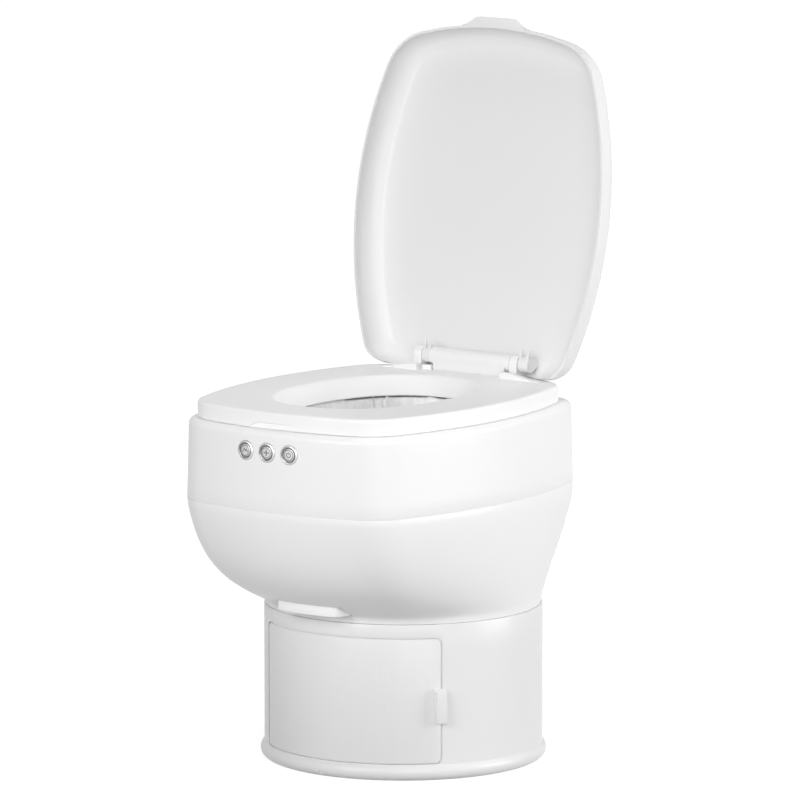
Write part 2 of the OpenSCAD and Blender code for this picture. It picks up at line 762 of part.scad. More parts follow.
module sealing_frame() {
    color(steel) difference() {
        union() {
            translate([-frame_half, frame_front, frame_z])
                cube([2 * frame_half, frame_rear - frame_front, frame_t]);
            for (y = [frame_front, rear_plate_y])
                translate([-frame_half, y, frame_z]) cube([2 * frame_half, plate_t, frame_top - frame_z]);
        }
        translate([-jaw_half - 4, chute_low_y, frame_z - through])
            cube([2 * jaw_half + 8, fixed_face - chute_low_y, frame_t + 2 * through]);
        for (x = [-rod_x, rod_x]) along_y(x, frame_front - through, rod_high_y + through, rod_r);
        along_y(screw_x, frame_front - through, rod_high_y + through, rod_r + 0.06);
        at_frame_screws() translate([0, 0, -frame_t - through])
            cylinder(r = base_shank + hair, h = frame_t + 2 * through);
    }
}

module frame_screws() {
    color(steel) at_frame_screws() screw(base_shank, frame_t + floor_t, head_r, head_h);
}

module guide_rods() {
    color(steel) for (x = [-rod_x, rod_x]) along_y(x, rod_low_y, rod_high_y, rod_r);
}

module jaw_bar(x1, x2, y1, y2, h) {
    translate([x1, y1, jaw_z - h / 2]) cube([x2 - x1, y2 - y1, h]);
}

module fixed_jaw() {
    color(dark) jaw_bar(-jaw_half, jaw_half, fixed_face, rear_plate_y - hair, jaw_h);
}

module heating_strip() {
    color(steel) jaw_bar(-jaw_half + 4, jaw_half - 4, fixed_face - strip_t, fixed_face, 6);
}

jaw_back_y = open_face - 2 - jaw_d;
module moving_jaw() {
    color(dark) difference() {
        union() {
            jaw_bar(-rod_x - 10, screw_x + 10, jaw_back_y, jaw_back_y + jaw_d, jaw_h);
            jaw_bar(-jaw_half, jaw_half, jaw_back_y + jaw_d - 1, open_face, jaw_h);
        }
        for (x = [-rod_x, rod_x]) along_y(x, jaw_back_y - through, open_face + through, rod_r + fit);
        along_y(screw_x, jaw_back_y - through, open_face + through, rod_r + 0.06);
    }
}

module silicone_pad() {
    color([0.8, 0.45, 0.3]) jaw_bar(-jaw_half + 4, jaw_half - 4, open_face, open_face + pad_t, 10);
}

coupling_l = 8;
coupling_y = rear_plate_y + plate_t + run;
motor_y = coupling_y + coupling_l + 1;
motor_l = 34;
module lead_screw() {
    color(steel) along_y(screw_x, frame_front - 2, coupling_y + coupling_l / 2, rod_r);
}

module shaft_coupling() {
    color(grey) difference() {
        along_y(screw_x, coupling_y, coupling_y + coupling_l, rod_r + 4);
        along_y(screw_x, coupling_y - through, coupling_y + coupling_l / 2, rod_r);
    }
}

module sealing_motor() {
    color(dark) difference() {
        along_y(screw_x, rear_plate_y + plate_t + hair, motor_y + motor_l, motor_r);
        along_y(screw_x, rear_plate_y, motor_y, rod_r + 4 + run);
    }
}

/* Controls */
ring_out = 1.6;
ring_l = 16;
cap_out = 0.9;
stem_r = 3;
module button_rings() {
    color(steel) for (i = [-1 : 1]) on_front(i * button_step) difference() {
        union() {
            translate([0, 0, -1]) cylinder(r = button_ring_r, h = 1 + ring_out - 0.8);
            translate([0, 0, ring_out - 0.8]) cylinder(r1 = button_ring_r, r2 = button_ring_r - 0.8, h = 0.8);
            translate([0, 0, -ring_l]) cylinder(r = ring_neck_r, h = ring_l);
        }
        translate([0, 0, -7 - button_travel]) cylinder(r = button_r + 0.3, h = 20);
        translate([0, 0, -ring_l - through]) cylinder(r = stem_r + 0.3, h = ring_l);
    }
}

nut_h = 4;
nut_gap = 0.7;
module button_nuts() {
    color(steel) for (i = [-1 : 1]) on_front(i * button_step)
        translate([0, 0, -body_wall - nut_gap - nut_h]) difference() {
            cylinder(r = ring_neck_r + 4, h = nut_h, $fn = 6);
            translate([0, 0, -through]) cylinder(r = ring_neck_r, h = nut_h + 2 * through);
        }
}

switch_l = 18;
module switch_blocks() {
    color(dark) for (i = [-1 : 1]) on_front(i * button_step)
        translate([0, 0, -ring_l - switch_l]) difference() {
            cylinder(r = ring_neck_r - 1, h = switch_l);
            translate([0, 0, switch_l - button_travel - 3]) cylinder(r = stem_r + 0.3, h = button_travel + 4);
        }
}

module button_cap(i) {
    color(steel) on_front(i * button_step) {
        translate([0, 0, -6]) cylinder(r = button_r, h = 6 + cap_out);
        translate([0, 0, -ring_l - 2]) cylinder(r = stem_r, h = ring_l - 3);
    }
}

board_gap = 4.3;
board_y = -body_front + ring_l + switch_l + board_gap;
board_half = 70;
board_t = 1.6;
board_down = 30;
board_up = 16;
board_low = button_z - board_down;
board_high = button_z + board_up;
module control_board() {
    color([0.1, 0.35, 0.2]) translate([-board_half, board_y, board_low])
        cube([2 * board_half, board_t, board_high - board_low]);
}

cover_wall = 3;
cover_depth = 20;
module board_cover() {
    low = board_low - cover_wall;
    h = deck_top - deck_t - hair - low;
    color(dark) translate([-board_half - cover_wall, board_y + board_t + hair, low]) difference() {
        cube([2 * (board_half + cover_wall), cover_depth, h]);
        translate([cover_wall, -through, cover_wall])
            cube([2 * board_half, cover_depth - cover_wall / 2, h - 2 * cover_wall]);
    }
}

inlet_r = 15;
inlet_neck_r = 11;
inlet_l = 18;
inlet_out = 1.6;
socket_depth = 14;
module power_inlet() {
    color(dark) on_back() difference() {
        union() {
            translate([0, 0, -1]) cylinder(r = inlet_r, h = 1 + inlet_out);
            translate([0, 0, -inlet_l]) cylinder(r = inlet_neck_r, h = inlet_l);
        }
        translate([0, 0, inlet_out - socket_depth]) cylinder(r = socket_r, h = socket_depth + through);
    }
}

/* Seat and lid hinge, along X: seat knuckle, lid boss, fixed barrel, seat knuckle, lid boss */
side_gap = 0.5;
seat_left = [-80, -68 - side_gap];
lid_left = [-68, -56];
barrel_x = [-56 + side_gap, 68 - side_gap];
seat_right = [68, 80 - side_gap];
lid_right = [80, 95];
saddle_x = [-50, 60];
saddle_front = 11;
saddle_rear = 12;
saddle_inset = 9;

module hinge_rod(x, r) {
    translate([x[0], hinge_y, hinge_z]) rotate([0, 90, 0]) cylinder(r = r, h = x[1] - x[0]);
}

module at_saddle_screws() {
    for (x = [saddle_x[0] + saddle_inset, saddle_x[1] - saddle_inset])
        translate([x, hinge_y + saddle_rear - head_r - 1.7, 0]) children();
}

saddle_foot_t = 5;
module hinge_saddle() {
    foot = deck_top;
    color(white) difference() {
        union() {
            hinge_rod(barrel_x, barrel_r);
            translate([saddle_x[0], hinge_y - saddle_front + 1, foot])
                cube([saddle_x[1] - saddle_x[0], 2 * saddle_front - 2, hinge_z - foot]);
            translate([saddle_x[0], hinge_y - saddle_front + 1, foot])
                cube([saddle_x[1] - saddle_x[0], saddle_front + saddle_rear - 1, saddle_foot_t]);
        }
        hinge_rod([barrel_x[0] - through, barrel_x[1] + through], damper_r + fit);
        at_saddle_screws() {
            translate([0, 0, foot - through]) cylinder(r = base_shank + hair, h = saddle_foot_t + 2 * through);
            translate([0, 0, foot + saddle_foot_t]) cylinder(r = head_r + 0.6, h = barrel_r * 2);
        }
    }
}

module saddle_screws() {
    color(steel) at_saddle_screws() translate([0, 0, deck_top + saddle_foot_t])
        screw(base_shank, saddle_foot_t + deck_t, head_r, head_h);
}

module hinge_pin() {
    color(steel) hinge_rod([seat_left[0] + 2, lid_right[1] - 2], hinge_pin_r);
}

damper_split = 5;
module damper(x) {
    color(dark) difference() {
        hinge_rod(x, damper_r);
        hinge_rod([x[0] - through, x[1] + through], bore_r);
    }
}

module lid_damper() {
    damper([barrel_x[0], damper_split]);
}

module seat_damper() {
    damper([damper_split + 1, barrel_x[1]]);
}

seat_notch_gap = 1.5;
bumper_r = 8;
bumper_t = 3;
bumper_out = 0.5;
bumper_inset = 45;
bumper_front = 100;
bumper_back = 60;
module at_seat_bumpers() {
    for (x = [-1, 1], y = [-lip_y - bumper_front, hinge_y - bumper_back])
        translate([x * (body_w / 2 - bumper_inset), y, seat_z - bumper_out]) children();
}

// Raised ledges on the seat in front of the lid's bosses, each falling off to the side
pad_h = 8;
pad_y = [-24, -barrel_r - 3.6];
pads = [[-66, -131], [62, 128]];

module seat() {
    top = seat_top;
    rings = [lift(seat_ring(0), seat_z), lift(seat_ring(0), top - 4), lift(seat_ring(-1), top - 1.2),
        lift(seat_ring(-3.5), top), oval_ring(dish, top), oval_ring(dish * 0.82, top - 1),
        oval_ring(dish * 0.45, top - 8), oval_ring(dish * 0.14, top - 18),
        oval_ring(0, seat_z - lip_drop + 2), oval_ring(1, seat_z - lip_drop),
        oval_ring(4, seat_z - lip_drop + 0.4), oval_ring(dish - 3, seat_z)];
    reach = hinge_up + seat_t;
    color(white) difference() {
        union() {
            skin(rings, closed = true);
            for (x = [seat_left, seat_right]) {
                hinge_rod(x, barrel_r);
                translate([x[0], hinge_y - barrel_r, top - 5])
                    cube([x[1] - x[0], barrel_r + seat_back - hinge_y, hinge_z - top + 5]);
            }
            for (x = pads) translate([0, hinge_y + pad_y[1], top]) rotate([90, 0, 0])
                linear_extrude(pad_y[1] - pad_y[0])
                    polygon([[x[0], -2], [x[0], pad_h], [x[1], -0.4], [x[1], -2]]);
        }
        translate([saddle_x[0] - seat_notch_gap, hinge_y - saddle_front, seat_z - through])
            cube([saddle_x[1] - saddle_x[0] + 2 * seat_notch_gap, 60, seat_t + 2 * through]);
        difference() {
            translate([-body_w / 2, hinge_y, seat_z - 4]) cube([body_w, 40, 12]);
            hinge_rod([-body_w / 2 - 1, body_w / 2 + 1], reach + 0.4);
        }
        hinge_rod([seat_left[0] + 1.5, seat_right[1] + 5], bore_r);
        finger_notch();
        at_seat_bumpers() cylinder(r = bumper_r + fit, h = bumper_t - bumper_out + 0.1);
    }
}

// Finger notch in the front of the seat's lower edge
notch_w = [37, 20];
notch_h = 7.5;
module finger_notch() {
    y = -body_front + seat_reveal;
    translate([0, y + 14, seat_z]) rotate([90, 0, 0]) linear_extrude(30)
        polygon([[-notch_w[0], -1], [-notch_w[0], 0], [-notch_w[1], notch_h], [notch_w[1], notch_h],
            [notch_w[0], 0], [notch_w[0], -1]]);
}

module seat_bumpers() {
    color(dark) at_seat_bumpers() cylinder(r = bumper_r, h = bumper_t - bumper_out);
}

module swing_lid() {
    translate([0, hinge_y, hinge_z]) rotate([-lid_open, 0, 0]) translate([0, -hinge_y, -hinge_z]) children();
}

// Rings of the lid's outer and inner faces: [offset from its edge, share of its height]
lid_outer = [[0, 0], [0, 0.45], [-1.5, 0.62], [-5, 0.78], [-11, 0.9], [-20, 0.97]];
lid_inner = [[0, 0], [-1, 0.35], [-5, 0.6], [-11, 0.8], [-19, 0.93]];
function scaled(ring, s, z) = [for (p = ring) [p.x * s, (p.y + wide_y) * s - wide_y, z]];
lid_cap = 3;

// A boss round the pin with two ribs up to the lid's inner face, drawn for the open lid
boss_r = barrel_r - 1.1;
rib_t = 3;
module lid_boss(x) {
    hinge_rod(x, boss_r);
    for (rib = [x[0] + side_gap, x[1] - side_gap - rib_t])
        translate([rib, hinge_y, hinge_z]) rotate([90, 0, 90]) linear_extrude(rib_t)
            polygon([[-boss_r, 0], [-8.6, 5], [-6.5, 9.5], [-4, 20.5], [-1.5, 11.5], [4, 11.5], [19.4, 12],
                [17.2, -3], [0, -boss_r]]);
}

// Room behind the hinge of the closed lid: what the open lid would push into the seat
module seat_room() {
    rear = seat_back - hinge_y + 1;
    up = hinge_up - 1;
    along = [sin(lid_open), -cos(lid_open)];
    top = up * along;
    corner = top + rear * [-along.y, along.x];
    low = -hinge_up - 5;
    translate([-body_w / 2, hinge_y, hinge_z]) rotate([90, 0, 90]) linear_extrude(body_w) difference() {
        polygon([[0, low], [0, top.y], top, corner, corner + 40 * along, [45, low]]);
        circle(r = hinge_up - 0.8);
    }
}

// Room inside the open lid for the barrel, the knuckles and their roots
module knuckle_room() {
    x = [seat_left[0] - side_gap, seat_right[1] + side_gap];
    hinge_rod(x, barrel_r + 1.5);
    translate([x[0], hinge_y - barrel_r, seat_z]) cube([x[1] - x[0], 2 * barrel_r, hinge_z - seat_z]);
}

module lid() {
    z0 = lid_z;
    inner_h = lid_h - lid_wall;
    crown = [0.85, 0.6, 0.3];
    outer_edge = lid_ring(lid_outer[5][0]);
    inner_edge = lid_ring(lid_inner[4][0] - lid_wall);
    outer = concat([for (i = [2 : -1 : 0]) scaled(outer_edge, crown[i], z0 + lid_h - lid_cap * 0.1 * crown[i])],
        [for (i = [5 : -1 : 0]) lift(lid_ring(lid_outer[i][0]), z0 + lid_h * lid_outer[i][1])]);
    inner = concat([for (p = lid_inner) lift(lid_ring(p[0] - lid_wall), z0 + inner_h * p[1])],
        [for (s = crown) scaled(inner_edge, s, z0 + inner_h - lid_cap * 0.1 * s)]);
    color(white) difference() {
        union() {
            difference() {
                swing_lid() difference() {
                    union() {
                        skin(turned(concat(outer, inner)));
                        lift_tab();
                    }
                    seat_room();
                }
                knuckle_room();
            }
            lid_boss(lid_left);
            lid_boss(lid_right);
        }
        hinge_rod([lid_left[0] - 1, lid_right[1] - 1.5], bore_r);
    }
}

module lift_tab() {
    y = -body_front + seat_reveal - lid_over;
    translate([0, 0, lid_z]) linear_extrude(8)
        polygon([[-tab_w / 2, y + 2.5], [-tab_w / 2, y + 1.5], [-tab_w * 0.27, y - tab_out], [tab_w * 0.27, y - tab_out],
            [tab_w / 2, y + 1.5], [tab_w / 2, y + 2.5]]);
}

/* Release tab under the bowl */
release_z = floor_z + floor_t + 0.3;
release_in_r = 158;
module release_shape(o, r) {
    intersection() {
        translate([0, 0, release_z - o]) cylinder(r = r + o, h = release_h + 2 * o, $fn = 128);
        translate([-release_w / 2 - o, -r - 10, release_z - o]) cube([release_w + 2 * o, r, release_h + 2 * o]);
    }
}

module release_slot() {
    difference() {
        release_shape(0.3, release_r + 20);
        cylinder(r = release_in_r - 10, h = 2 * ped_h);
    }
}

module release_tab() {
    color([0.97, 0.97, 0.97]) difference() {
        release_shape(0, release_r);
        cylinder(r = release_in_r, h = 2 * ped_h, $fn = 128);
    }
}

base_plate();
floor_gasket();
pedestal_shell();
base_screws();
bin_rails();
slide_ring();
latch_magnet();
door_pins();
door_panel();
door_pull();
strike_plate();
pull_screws();
collection_bin();
bin_grip();
swivel_ring();
swivel_claws();
ring_screws();
lower_housing();
upper_housing();
top_deck();
film_cassette();
cassette_cover();
film_pack();
film_liner();
bowl_funnel();
sealing_frame();
frame_screws();
guide_rods();
fixed_jaw();
heating_strip();
sealing_motor();
moving_jaw();
silicone_pad();
lead_screw();
shaft_coupling();
button_rings();
button_nuts();
switch_blocks();
button_cap(-1);  // button_left
button_cap(0);  // button_middle
button_cap(1);  // button_right
control_board();
board_cover();
power_inlet();
hinge_saddle();
saddle_screws();
hinge_pin();
lid_damper();
seat_damper();
seat();
seat_bumpers();
lid();
release_tab();
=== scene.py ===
import json
import math
import random

import bmesh
import bpy
from mathutils import Matrix, Vector


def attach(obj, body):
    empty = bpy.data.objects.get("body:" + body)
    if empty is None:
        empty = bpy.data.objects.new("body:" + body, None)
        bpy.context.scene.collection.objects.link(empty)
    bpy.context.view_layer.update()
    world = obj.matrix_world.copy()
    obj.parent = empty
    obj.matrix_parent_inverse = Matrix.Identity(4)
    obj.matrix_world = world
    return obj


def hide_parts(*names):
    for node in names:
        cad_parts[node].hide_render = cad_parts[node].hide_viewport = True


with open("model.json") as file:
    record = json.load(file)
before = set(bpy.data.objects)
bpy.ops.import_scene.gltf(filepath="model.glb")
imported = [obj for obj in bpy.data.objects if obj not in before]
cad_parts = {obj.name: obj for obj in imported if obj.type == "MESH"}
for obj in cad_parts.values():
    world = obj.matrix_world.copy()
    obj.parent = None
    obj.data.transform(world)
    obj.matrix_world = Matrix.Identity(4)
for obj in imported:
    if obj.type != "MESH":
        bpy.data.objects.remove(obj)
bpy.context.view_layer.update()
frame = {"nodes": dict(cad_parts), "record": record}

MM = 0.001
TURN = 2 * math.pi

# Sizes in millimetres, mostly the solids' own. The foot bead, the door opening and the pull are a few
# millimetres off theirs, as the photograph shows them.
PEDESTAL_R, PEDESTAL_H, PEDESTAL_WALL = 174.0, 195.0, 5.0
BEAD_R, BEAD_OUT, BEAD_Z = 10.6, 4.8, 10.3
DROP_R, FLANGE, BASE_T, FOOT_T, FOOT_IN_R = 138.0, 5.0, 6.0, 4.0, 148.0
DOOR_TURN, DOOR_W, DOOR_LOW, DOOR_HIGH = math.radians(7), 247.0, 20.5, 178.0
DOOR_CORNER, DOOR_GAP, DOOR_LIP_R, DOOR_LIP_IN_R, DOOR_LIP_GAP = 7.0, 1.7, 172.7, 170.5, 0.5
MARK_TURN, MARK_R, MARK_Z = math.radians(-88.9), 2.6, 4.6
PULL_W, PULL_H, PULL_LOW, PULL_OUT, PULL_LEAN = 13.0, 42.0, 72.6, 9.0, 2.4
PULL_TURN = math.radians(43.5)
BODY_W, BODY_FRONT, BODY_BACK, WIDE_Y = 389.0, 283.5, 182.5, 46.8
SIDE_R, FRONT_R, FRONT_C, BACK_R, BACK_C = 520.0, 446.0, 74.0, 443.0, 43.0
BODY_WALL, SPLIT_Z, RIM_Z, SHOULDER, DRAFT, NECK_R, SEAM = 4.5, 344.5, 444.6, 9.0, 2.3, 171.0, 0.6
NECK_Z, FLOOR_Z, FLOOR_T, FLOOR_R = 195.6, 202.0, 4.0, 146.5
RIM_IN, LEDGE_IN, LEDGE_Z = 24.0, 30.0, 440.6
SEAT_REVEAL, SEAT_Z, SEAT_TOP, SEAT_BACK = 13.3, 445.4, 466.0, 151.5
SEAT_BACK_R, SEAT_BACK_C, SEAT_ROUND = 1500.0, 60.0, 4.5
LIP_W, LIP_L, LIP_Y, OVAL_N, DISH = 186.0, 272.0, 54.0, 2.25, 17.0
LID_OVER, LID_H, LID_WALL, LID_Z = 8.0, 36.0, 3.0, 466.4
HINGE_Y, HINGE_Z, BARREL_R, PIN_R, DAMPER_R, LID_OPEN = 141.8, 483.0, 11.0, 4.05, 8.05, math.radians(99.2)
KNUCKLES, BOSSES, BARREL_ENDS = ((-80, -68.5), (68, 79.5)), ((-68, -56), (80, 95)), (-55.5, 67.5)
OUTLET_R, OUTLET_Y, OUTLET_Z, BOWL_TOP, FILM_TOP = 59.0, 11.0, 283.0, 403.2, 434.0
BUTTON_STEP, BUTTON_Z, RING_R, CAP_R, RING_OUT, CAP_OUT = 33.0, 418.0, 12.3, 8.0, 1.6, 0.9
SOCKET_Z, SOCKET_R = 375.0, 15.2
RELEASE_W, RELEASE_H, RELEASE_R, RELEASE_IN_R, RELEASE_Z, RELEASE_GAP = 96.0, 13.0, 202.0, 158.0, 206.3, 0.3
SHOULDER_Z = RIM_Z - SHOULDER
QUARTER = (12, 26, 12)


# Camera

AZIMUTH = 36.18


def place_camera():
    azimuth, pitch = math.radians(AZIMUTH), 0.152
    forward = Vector((-math.sin(azimuth) * math.cos(pitch), math.cos(azimuth) * math.cos(pitch), -math.sin(pitch)))
    camera = bpy.data.objects.new("photo_camera", bpy.data.cameras.new("photo_camera"))
    bpy.context.scene.collection.objects.link(camera)
    camera.location = (5.445, -7.445, 1.861)
    camera.rotation_euler = forward.to_track_quat("-Z", "Y").to_euler()
    camera.data.lens = 337.3
    camera.data.sensor_width = 36.0
    camera.data.shift_x = -0.0043
    camera.data.clip_end = 200.0
    bpy.context.scene.camera = camera


# Materials

class Value:
    """A shader socket that sums can be written with."""

    def __init__(self, recipe, socket):
        self.recipe, self.socket = recipe, socket

    def maths(self, operation, a, b):
        return self.recipe.node("ShaderNodeMath", {"operation": operation}, {0: a, 1: b})

    def __add__(self, other):
        return self.maths("ADD", self, other)

    def __radd__(self, other):
        return self.maths("ADD", other, self)

    def __mul__(self, other):
        return self.maths("MULTIPLY", self, other)

    def __rmul__(self, other):
        return self.maths("MULTIPLY", other, self)

    def most(self, other):
        return self.maths("MAXIMUM", self, other)


class Recipe:
    """One material, built node by node round its Principled shader."""

    def __init__(self, name, **fixed):
        self.material = bpy.data.materials.new(name)
        self.material.use_nodes = True
        self.tree = self.material.node_tree
        self.shader = self.tree.nodes["Principled BSDF"]
        for socket, value in fixed.items():
            self.shader.inputs[socket.replace("_", " ")].default_value = value
        self.place = self.node("ShaderNodeTexCoord", out="Object")

    def node(self, kind, settings=None, sockets=None, out=0):
        made = self.tree.nodes.new(kind)
        for key, value in (settings or {}).items():
            setattr(made, key, value)
        for key, value in (sockets or {}).items():
            if isinstance(value, Value):
                self.tree.links.new(value.socket, made.inputs[key])
            else:
                made.inputs[key].default_value = value
        return Value(self, made.outputs[out])

    def noise(self, scale, detail=2.0, rough=0.5, at=None):
        return self.node("ShaderNodeTexNoise", None,
                         {"Vector": at or self.place, "Scale": scale, "Detail": detail, "Roughness": rough})

    def stretched(self, scale):
        return self.node("ShaderNodeMapping", None, {"Vector": self.place, "Scale": scale})

    def between(self, factor, a, b):
        """A colour that goes from a to b with factor."""
        mixed = self.node("ShaderNodeMix", {"data_type": "RGBA"}, None, out=2)
        node = mixed.socket.node
        for index, value in ((0, factor), (6, a), (7, b)):
            if isinstance(value, Value):
                self.tree.links.new(value.socket, node.inputs[index])
            else:
                node.inputs[index].default_value = value
        return mixed

    def ray(self, kind):
        return self.node("ShaderNodeLightPath", out=kind)

    def feed(self, socket, value):
        self.tree.links.new(value.socket, self.shader.inputs[socket])

    def bumps(self, height, strength, distance=0.001):
        self.feed("Normal", self.node("ShaderNodeBump", None,
                                      {"Height": height, "Strength": strength, "Distance": distance}))


class Sky(Recipe):
    """The world's light, built with the same node method."""

    def __init__(self, name):
        self.world = bpy.data.worlds.new(name)
        self.world.use_nodes = True
        self.tree = self.world.node_tree
        self.shader = self.tree.nodes["Background"]


def shade(grey):
    return (grey, grey, grey, 1.0)


def gloss_plastic(name, grey, rough=0.33):
    """Glossy moulded plastic: faint clouding, a slow orange peel and fine rub marks in its gloss."""
    r = Recipe(name, Specular_IOR_Level=0.35, Coat_Roughness=0.12)
    cloud = r.noise(6.0, 3.0)
    r.feed("Base Color", r.between(cloud, shade(grey - 0.008), shade(grey + 0.008)))
    rubs = r.noise(38.0, 5.0, 0.7)
    r.feed("Roughness", rough + 0.07 * rubs + 0.04 * cloud)
    r.feed("Coat Weight", 0.06 + 0.1 * cloud)
    r.bumps(r.noise(55.0, 1.0) + 0.2 * r.noise(420.0, 1.0), 0.02, 0.0005)
    return r.material


def grained_plastic(name, colour, rough=0.5, grain=1500.0, depth=0.25):
    """Matt plastic with a spark-eroded grain and a little colour drift."""
    r = Recipe(name, Specular_IOR_Level=0.4)
    drift = r.noise(25.0, 3.0)
    r.feed("Base Color", r.between(drift, tuple(0.9 * c for c in colour) + (1.0,),
                                   tuple(1.1 * c for c in colour) + (1.0,)))
    grains = r.noise(grain, 2.0)
    r.feed("Roughness", rough + 0.2 * grains)
    r.bumps(grains, depth, 0.0003)
    return r.material


def brushed_metal(name, grey, rough=0.25, scale=(30.0, 1400.0, 30.0), drift=0.06, weight=1.0):
    """Metal with fine lines across it and slight staining."""
    r = Recipe(name, Metallic=weight)
    lines = r.noise(1.0, 3.0, 0.6, r.stretched(scale))
    stain = r.noise(60.0, 3.0)
    r.feed("Base Color", r.between(stain, shade(grey - drift), shade(grey + drift)))
    r.feed("Roughness", rough + 0.18 * lines + 0.08 * stain)
    r.bumps(lines, 0.12, 0.0002)
    return r.material


def thin_film():
    """Thin clouded film: small wrinkles, thicker milky streaks, clearer between them."""
    r = Recipe("crumpled_film", Specular_IOR_Level=0.6, IOR=1.45)
    wrinkles = r.noise(1.0, 4.0, 0.6, r.stretched((95.0, 95.0, 28.0)))
    streaks = r.noise(1.0, 3.0, 0.55, r.stretched((160.0, 160.0, 20.0)))
    r.feed("Base Color", r.between(streaks, shade(0.88), shade(0.97)))
    r.feed("Roughness", 0.16 + 0.2 * wrinkles)
    r.feed("Alpha", 0.84 + 0.16 * streaks)
    r.bumps(wrinkles + 0.4 * r.noise(420.0, 2.0), 0.5, 0.0016)
    return r.material


def circuit_board():
    """Green lacquer over copper tracks and small pads."""
    r = Recipe("board_lacquer", Specular_IOR_Level=0.5)
    tracks = r.node("ShaderNodeTexBrick", {"offset": 0.5},
                    {"Vector": r.place, "Scale": 90.0, "Mortar Size": 0.03,
                     "Color1": shade(0.0), "Color2": shade(0.0), "Mortar": shade(1.0)})
    r.feed("Base Color", r.between(tracks, (0.03, 0.19, 0.09, 1.0), (0.08, 0.34, 0.14, 1.0)))
    r.feed("Roughness", 0.3 + 0.15 * r.noise(300.0))
    r.bumps(tracks, 0.2, 0.0002)
    return r.material


def make_finishes():
    # lid_white is a darker copy of the seat's white: painted shade for the inside of the open lid.
    white = {"body_white": 0.86, "pedestal_white": 0.77, "seat_white": 0.88, "funnel_white": 0.78, "lid_white": 0.8}
    finishes = {name: gloss_plastic(name + "_gloss", grey) for name, grey in white.items()}
    finishes["tab_clear"] = gloss_plastic("milky_tab", 0.88, 0.28)
    finishes["bearing_grey"] = grained_plastic("satin_acetal", (0.62, 0.63, 0.65), 0.42, 900.0, 0.12)
    finishes["dark_plastic"] = grained_plastic("black_grain", (0.045, 0.045, 0.05), 0.5)
    finishes["bin_grey"] = grained_plastic("bin_grain", (0.16, 0.165, 0.175), 0.55, 1100.0, 0.3)
    finishes["rubber"] = grained_plastic("soft_rubber", (0.035, 0.035, 0.035), 0.72, 700.0, 0.3)
    finishes["silicone"] = grained_plastic("silicone_pad_red", (0.55, 0.17, 0.09), 0.6, 500.0, 0.15)
    finishes["film"] = thin_film()
    finishes["steel"] = brushed_metal("zinc_plate", 0.56, 0.28)
    finishes["button_metal"] = brushed_metal("satin_nickel", 0.52, 0.2, (500.0, 500.0, 500.0), 0.03)
    # Darker nickel: painted shade for the button grooves, the gaps round the caps and the sunk signs.
    finishes["button_shade"] = brushed_metal("nickel_groove_shade", 0.2, 0.4, (500.0, 500.0, 500.0), 0.03)
    finishes["motor_metal"] = brushed_metal("motor_can", 0.2, 0.35, (400.0, 20.0, 400.0), 0.03, 0.7)
    finishes["board_green"] = circuit_board()
    return finishes


# Working with objects

def pick(*objects):
    bpy.ops.object.select_all(action="DESELECT")
    for piece in objects:
        piece.select_set(True)
    bpy.context.view_layer.objects.active = objects[0]


def edit(piece):
    pick(piece)
    bpy.ops.object.mode_set(mode="EDIT")


def leave():
    bpy.ops.object.mode_set(mode="OBJECT")


def select_where(piece, mode, test):
    """In edit mode, selects the vertices or edges whose ends pass the test, in millimetres."""
    bpy.ops.mesh.select_mode(type=mode)
    bpy.ops.mesh.select_all(action="DESELECT")
    data = bmesh.from_edit_mesh(piece.data)
    if mode == "VERT":
        for v in data.verts:
            v.select = test(v.co / MM)
    else:
        for e in data.edges:
            e.select = test(e.verts[0].co / MM, e.verts[1].co / MM)
    data.select_flush_mode()
    bmesh.update_edit_mesh(piece.data)


def move_mesh(piece, matrix):
    """Moves the mesh itself, so that the object stays at the origin."""
    piece.data.transform(matrix)
    piece.data.update()


def outward(piece):
    edit(piece)
    bpy.ops.mesh.select_all(action="SELECT")
    bpy.ops.mesh.remove_doubles(threshold=1e-6)
    bpy.ops.mesh.normals_make_consistent(inside=False)
    leave()


def combine(piece, tool, operation="DIFFERENCE"):
    """Cuts, joins or crosses piece with tool, which is used up."""
    pick(piece)
    modifier = piece.modifiers.new(operation.lower(), "BOOLEAN")
    modifier.operation, modifier.object, modifier.solver = operation, tool, "MANIFOLD"
    bpy.ops.object.modifier_apply(modifier=modifier.name)
    bpy.data.objects.remove(tool)
    return piece


def soften(piece, width, segments=2, angle=35.0, chosen=None):
    """Rounds the sharp edges, or only the chosen ones, by width millimetres."""
    pick(piece)
    modifier = piece.modifiers.new("soft edge", "BEVEL")
    modifier.width, modifier.segments = width * MM, segments
    modifier.use_clamp_overlap = True
    if chosen:
        weights = piece.data.attributes.new("bevel_weight_edge", "FLOAT", "EDGE")
        points = [v.co / MM for v in piece.data.vertices]
        for edge in piece.data.edges:
            a, b = (points[i] for i in edge.vertices)
            weights.data[edge.index].value = 1.0 if chosen(a, b) else 0.0
        modifier.limit_method = "WEIGHT"
    else:
        modifier.limit_method, modifier.angle_limit = "ANGLE", math.radians(angle)
    bpy.ops.object.modifier_apply(modifier=modifier.name)
    return piece


def block(name, low, high):
    """A cube primitive set to two corners, in millimetres."""
    bpy.ops.object.select_all(action="DESELECT")
    middle = [(a + b) / 2 * MM for a, b in zip(low, high)]
    bpy.ops.mesh.primitive_cube_add(size=1.0, location=middle)
    piece = bpy.context.object
    piece.name = name
    piece.scale = [(b - a) * MM for a, b in zip(low, high)]
    pick(piece)
    bpy.ops.object.transform_apply(location=True, rotation=True, scale=True)
    return piece


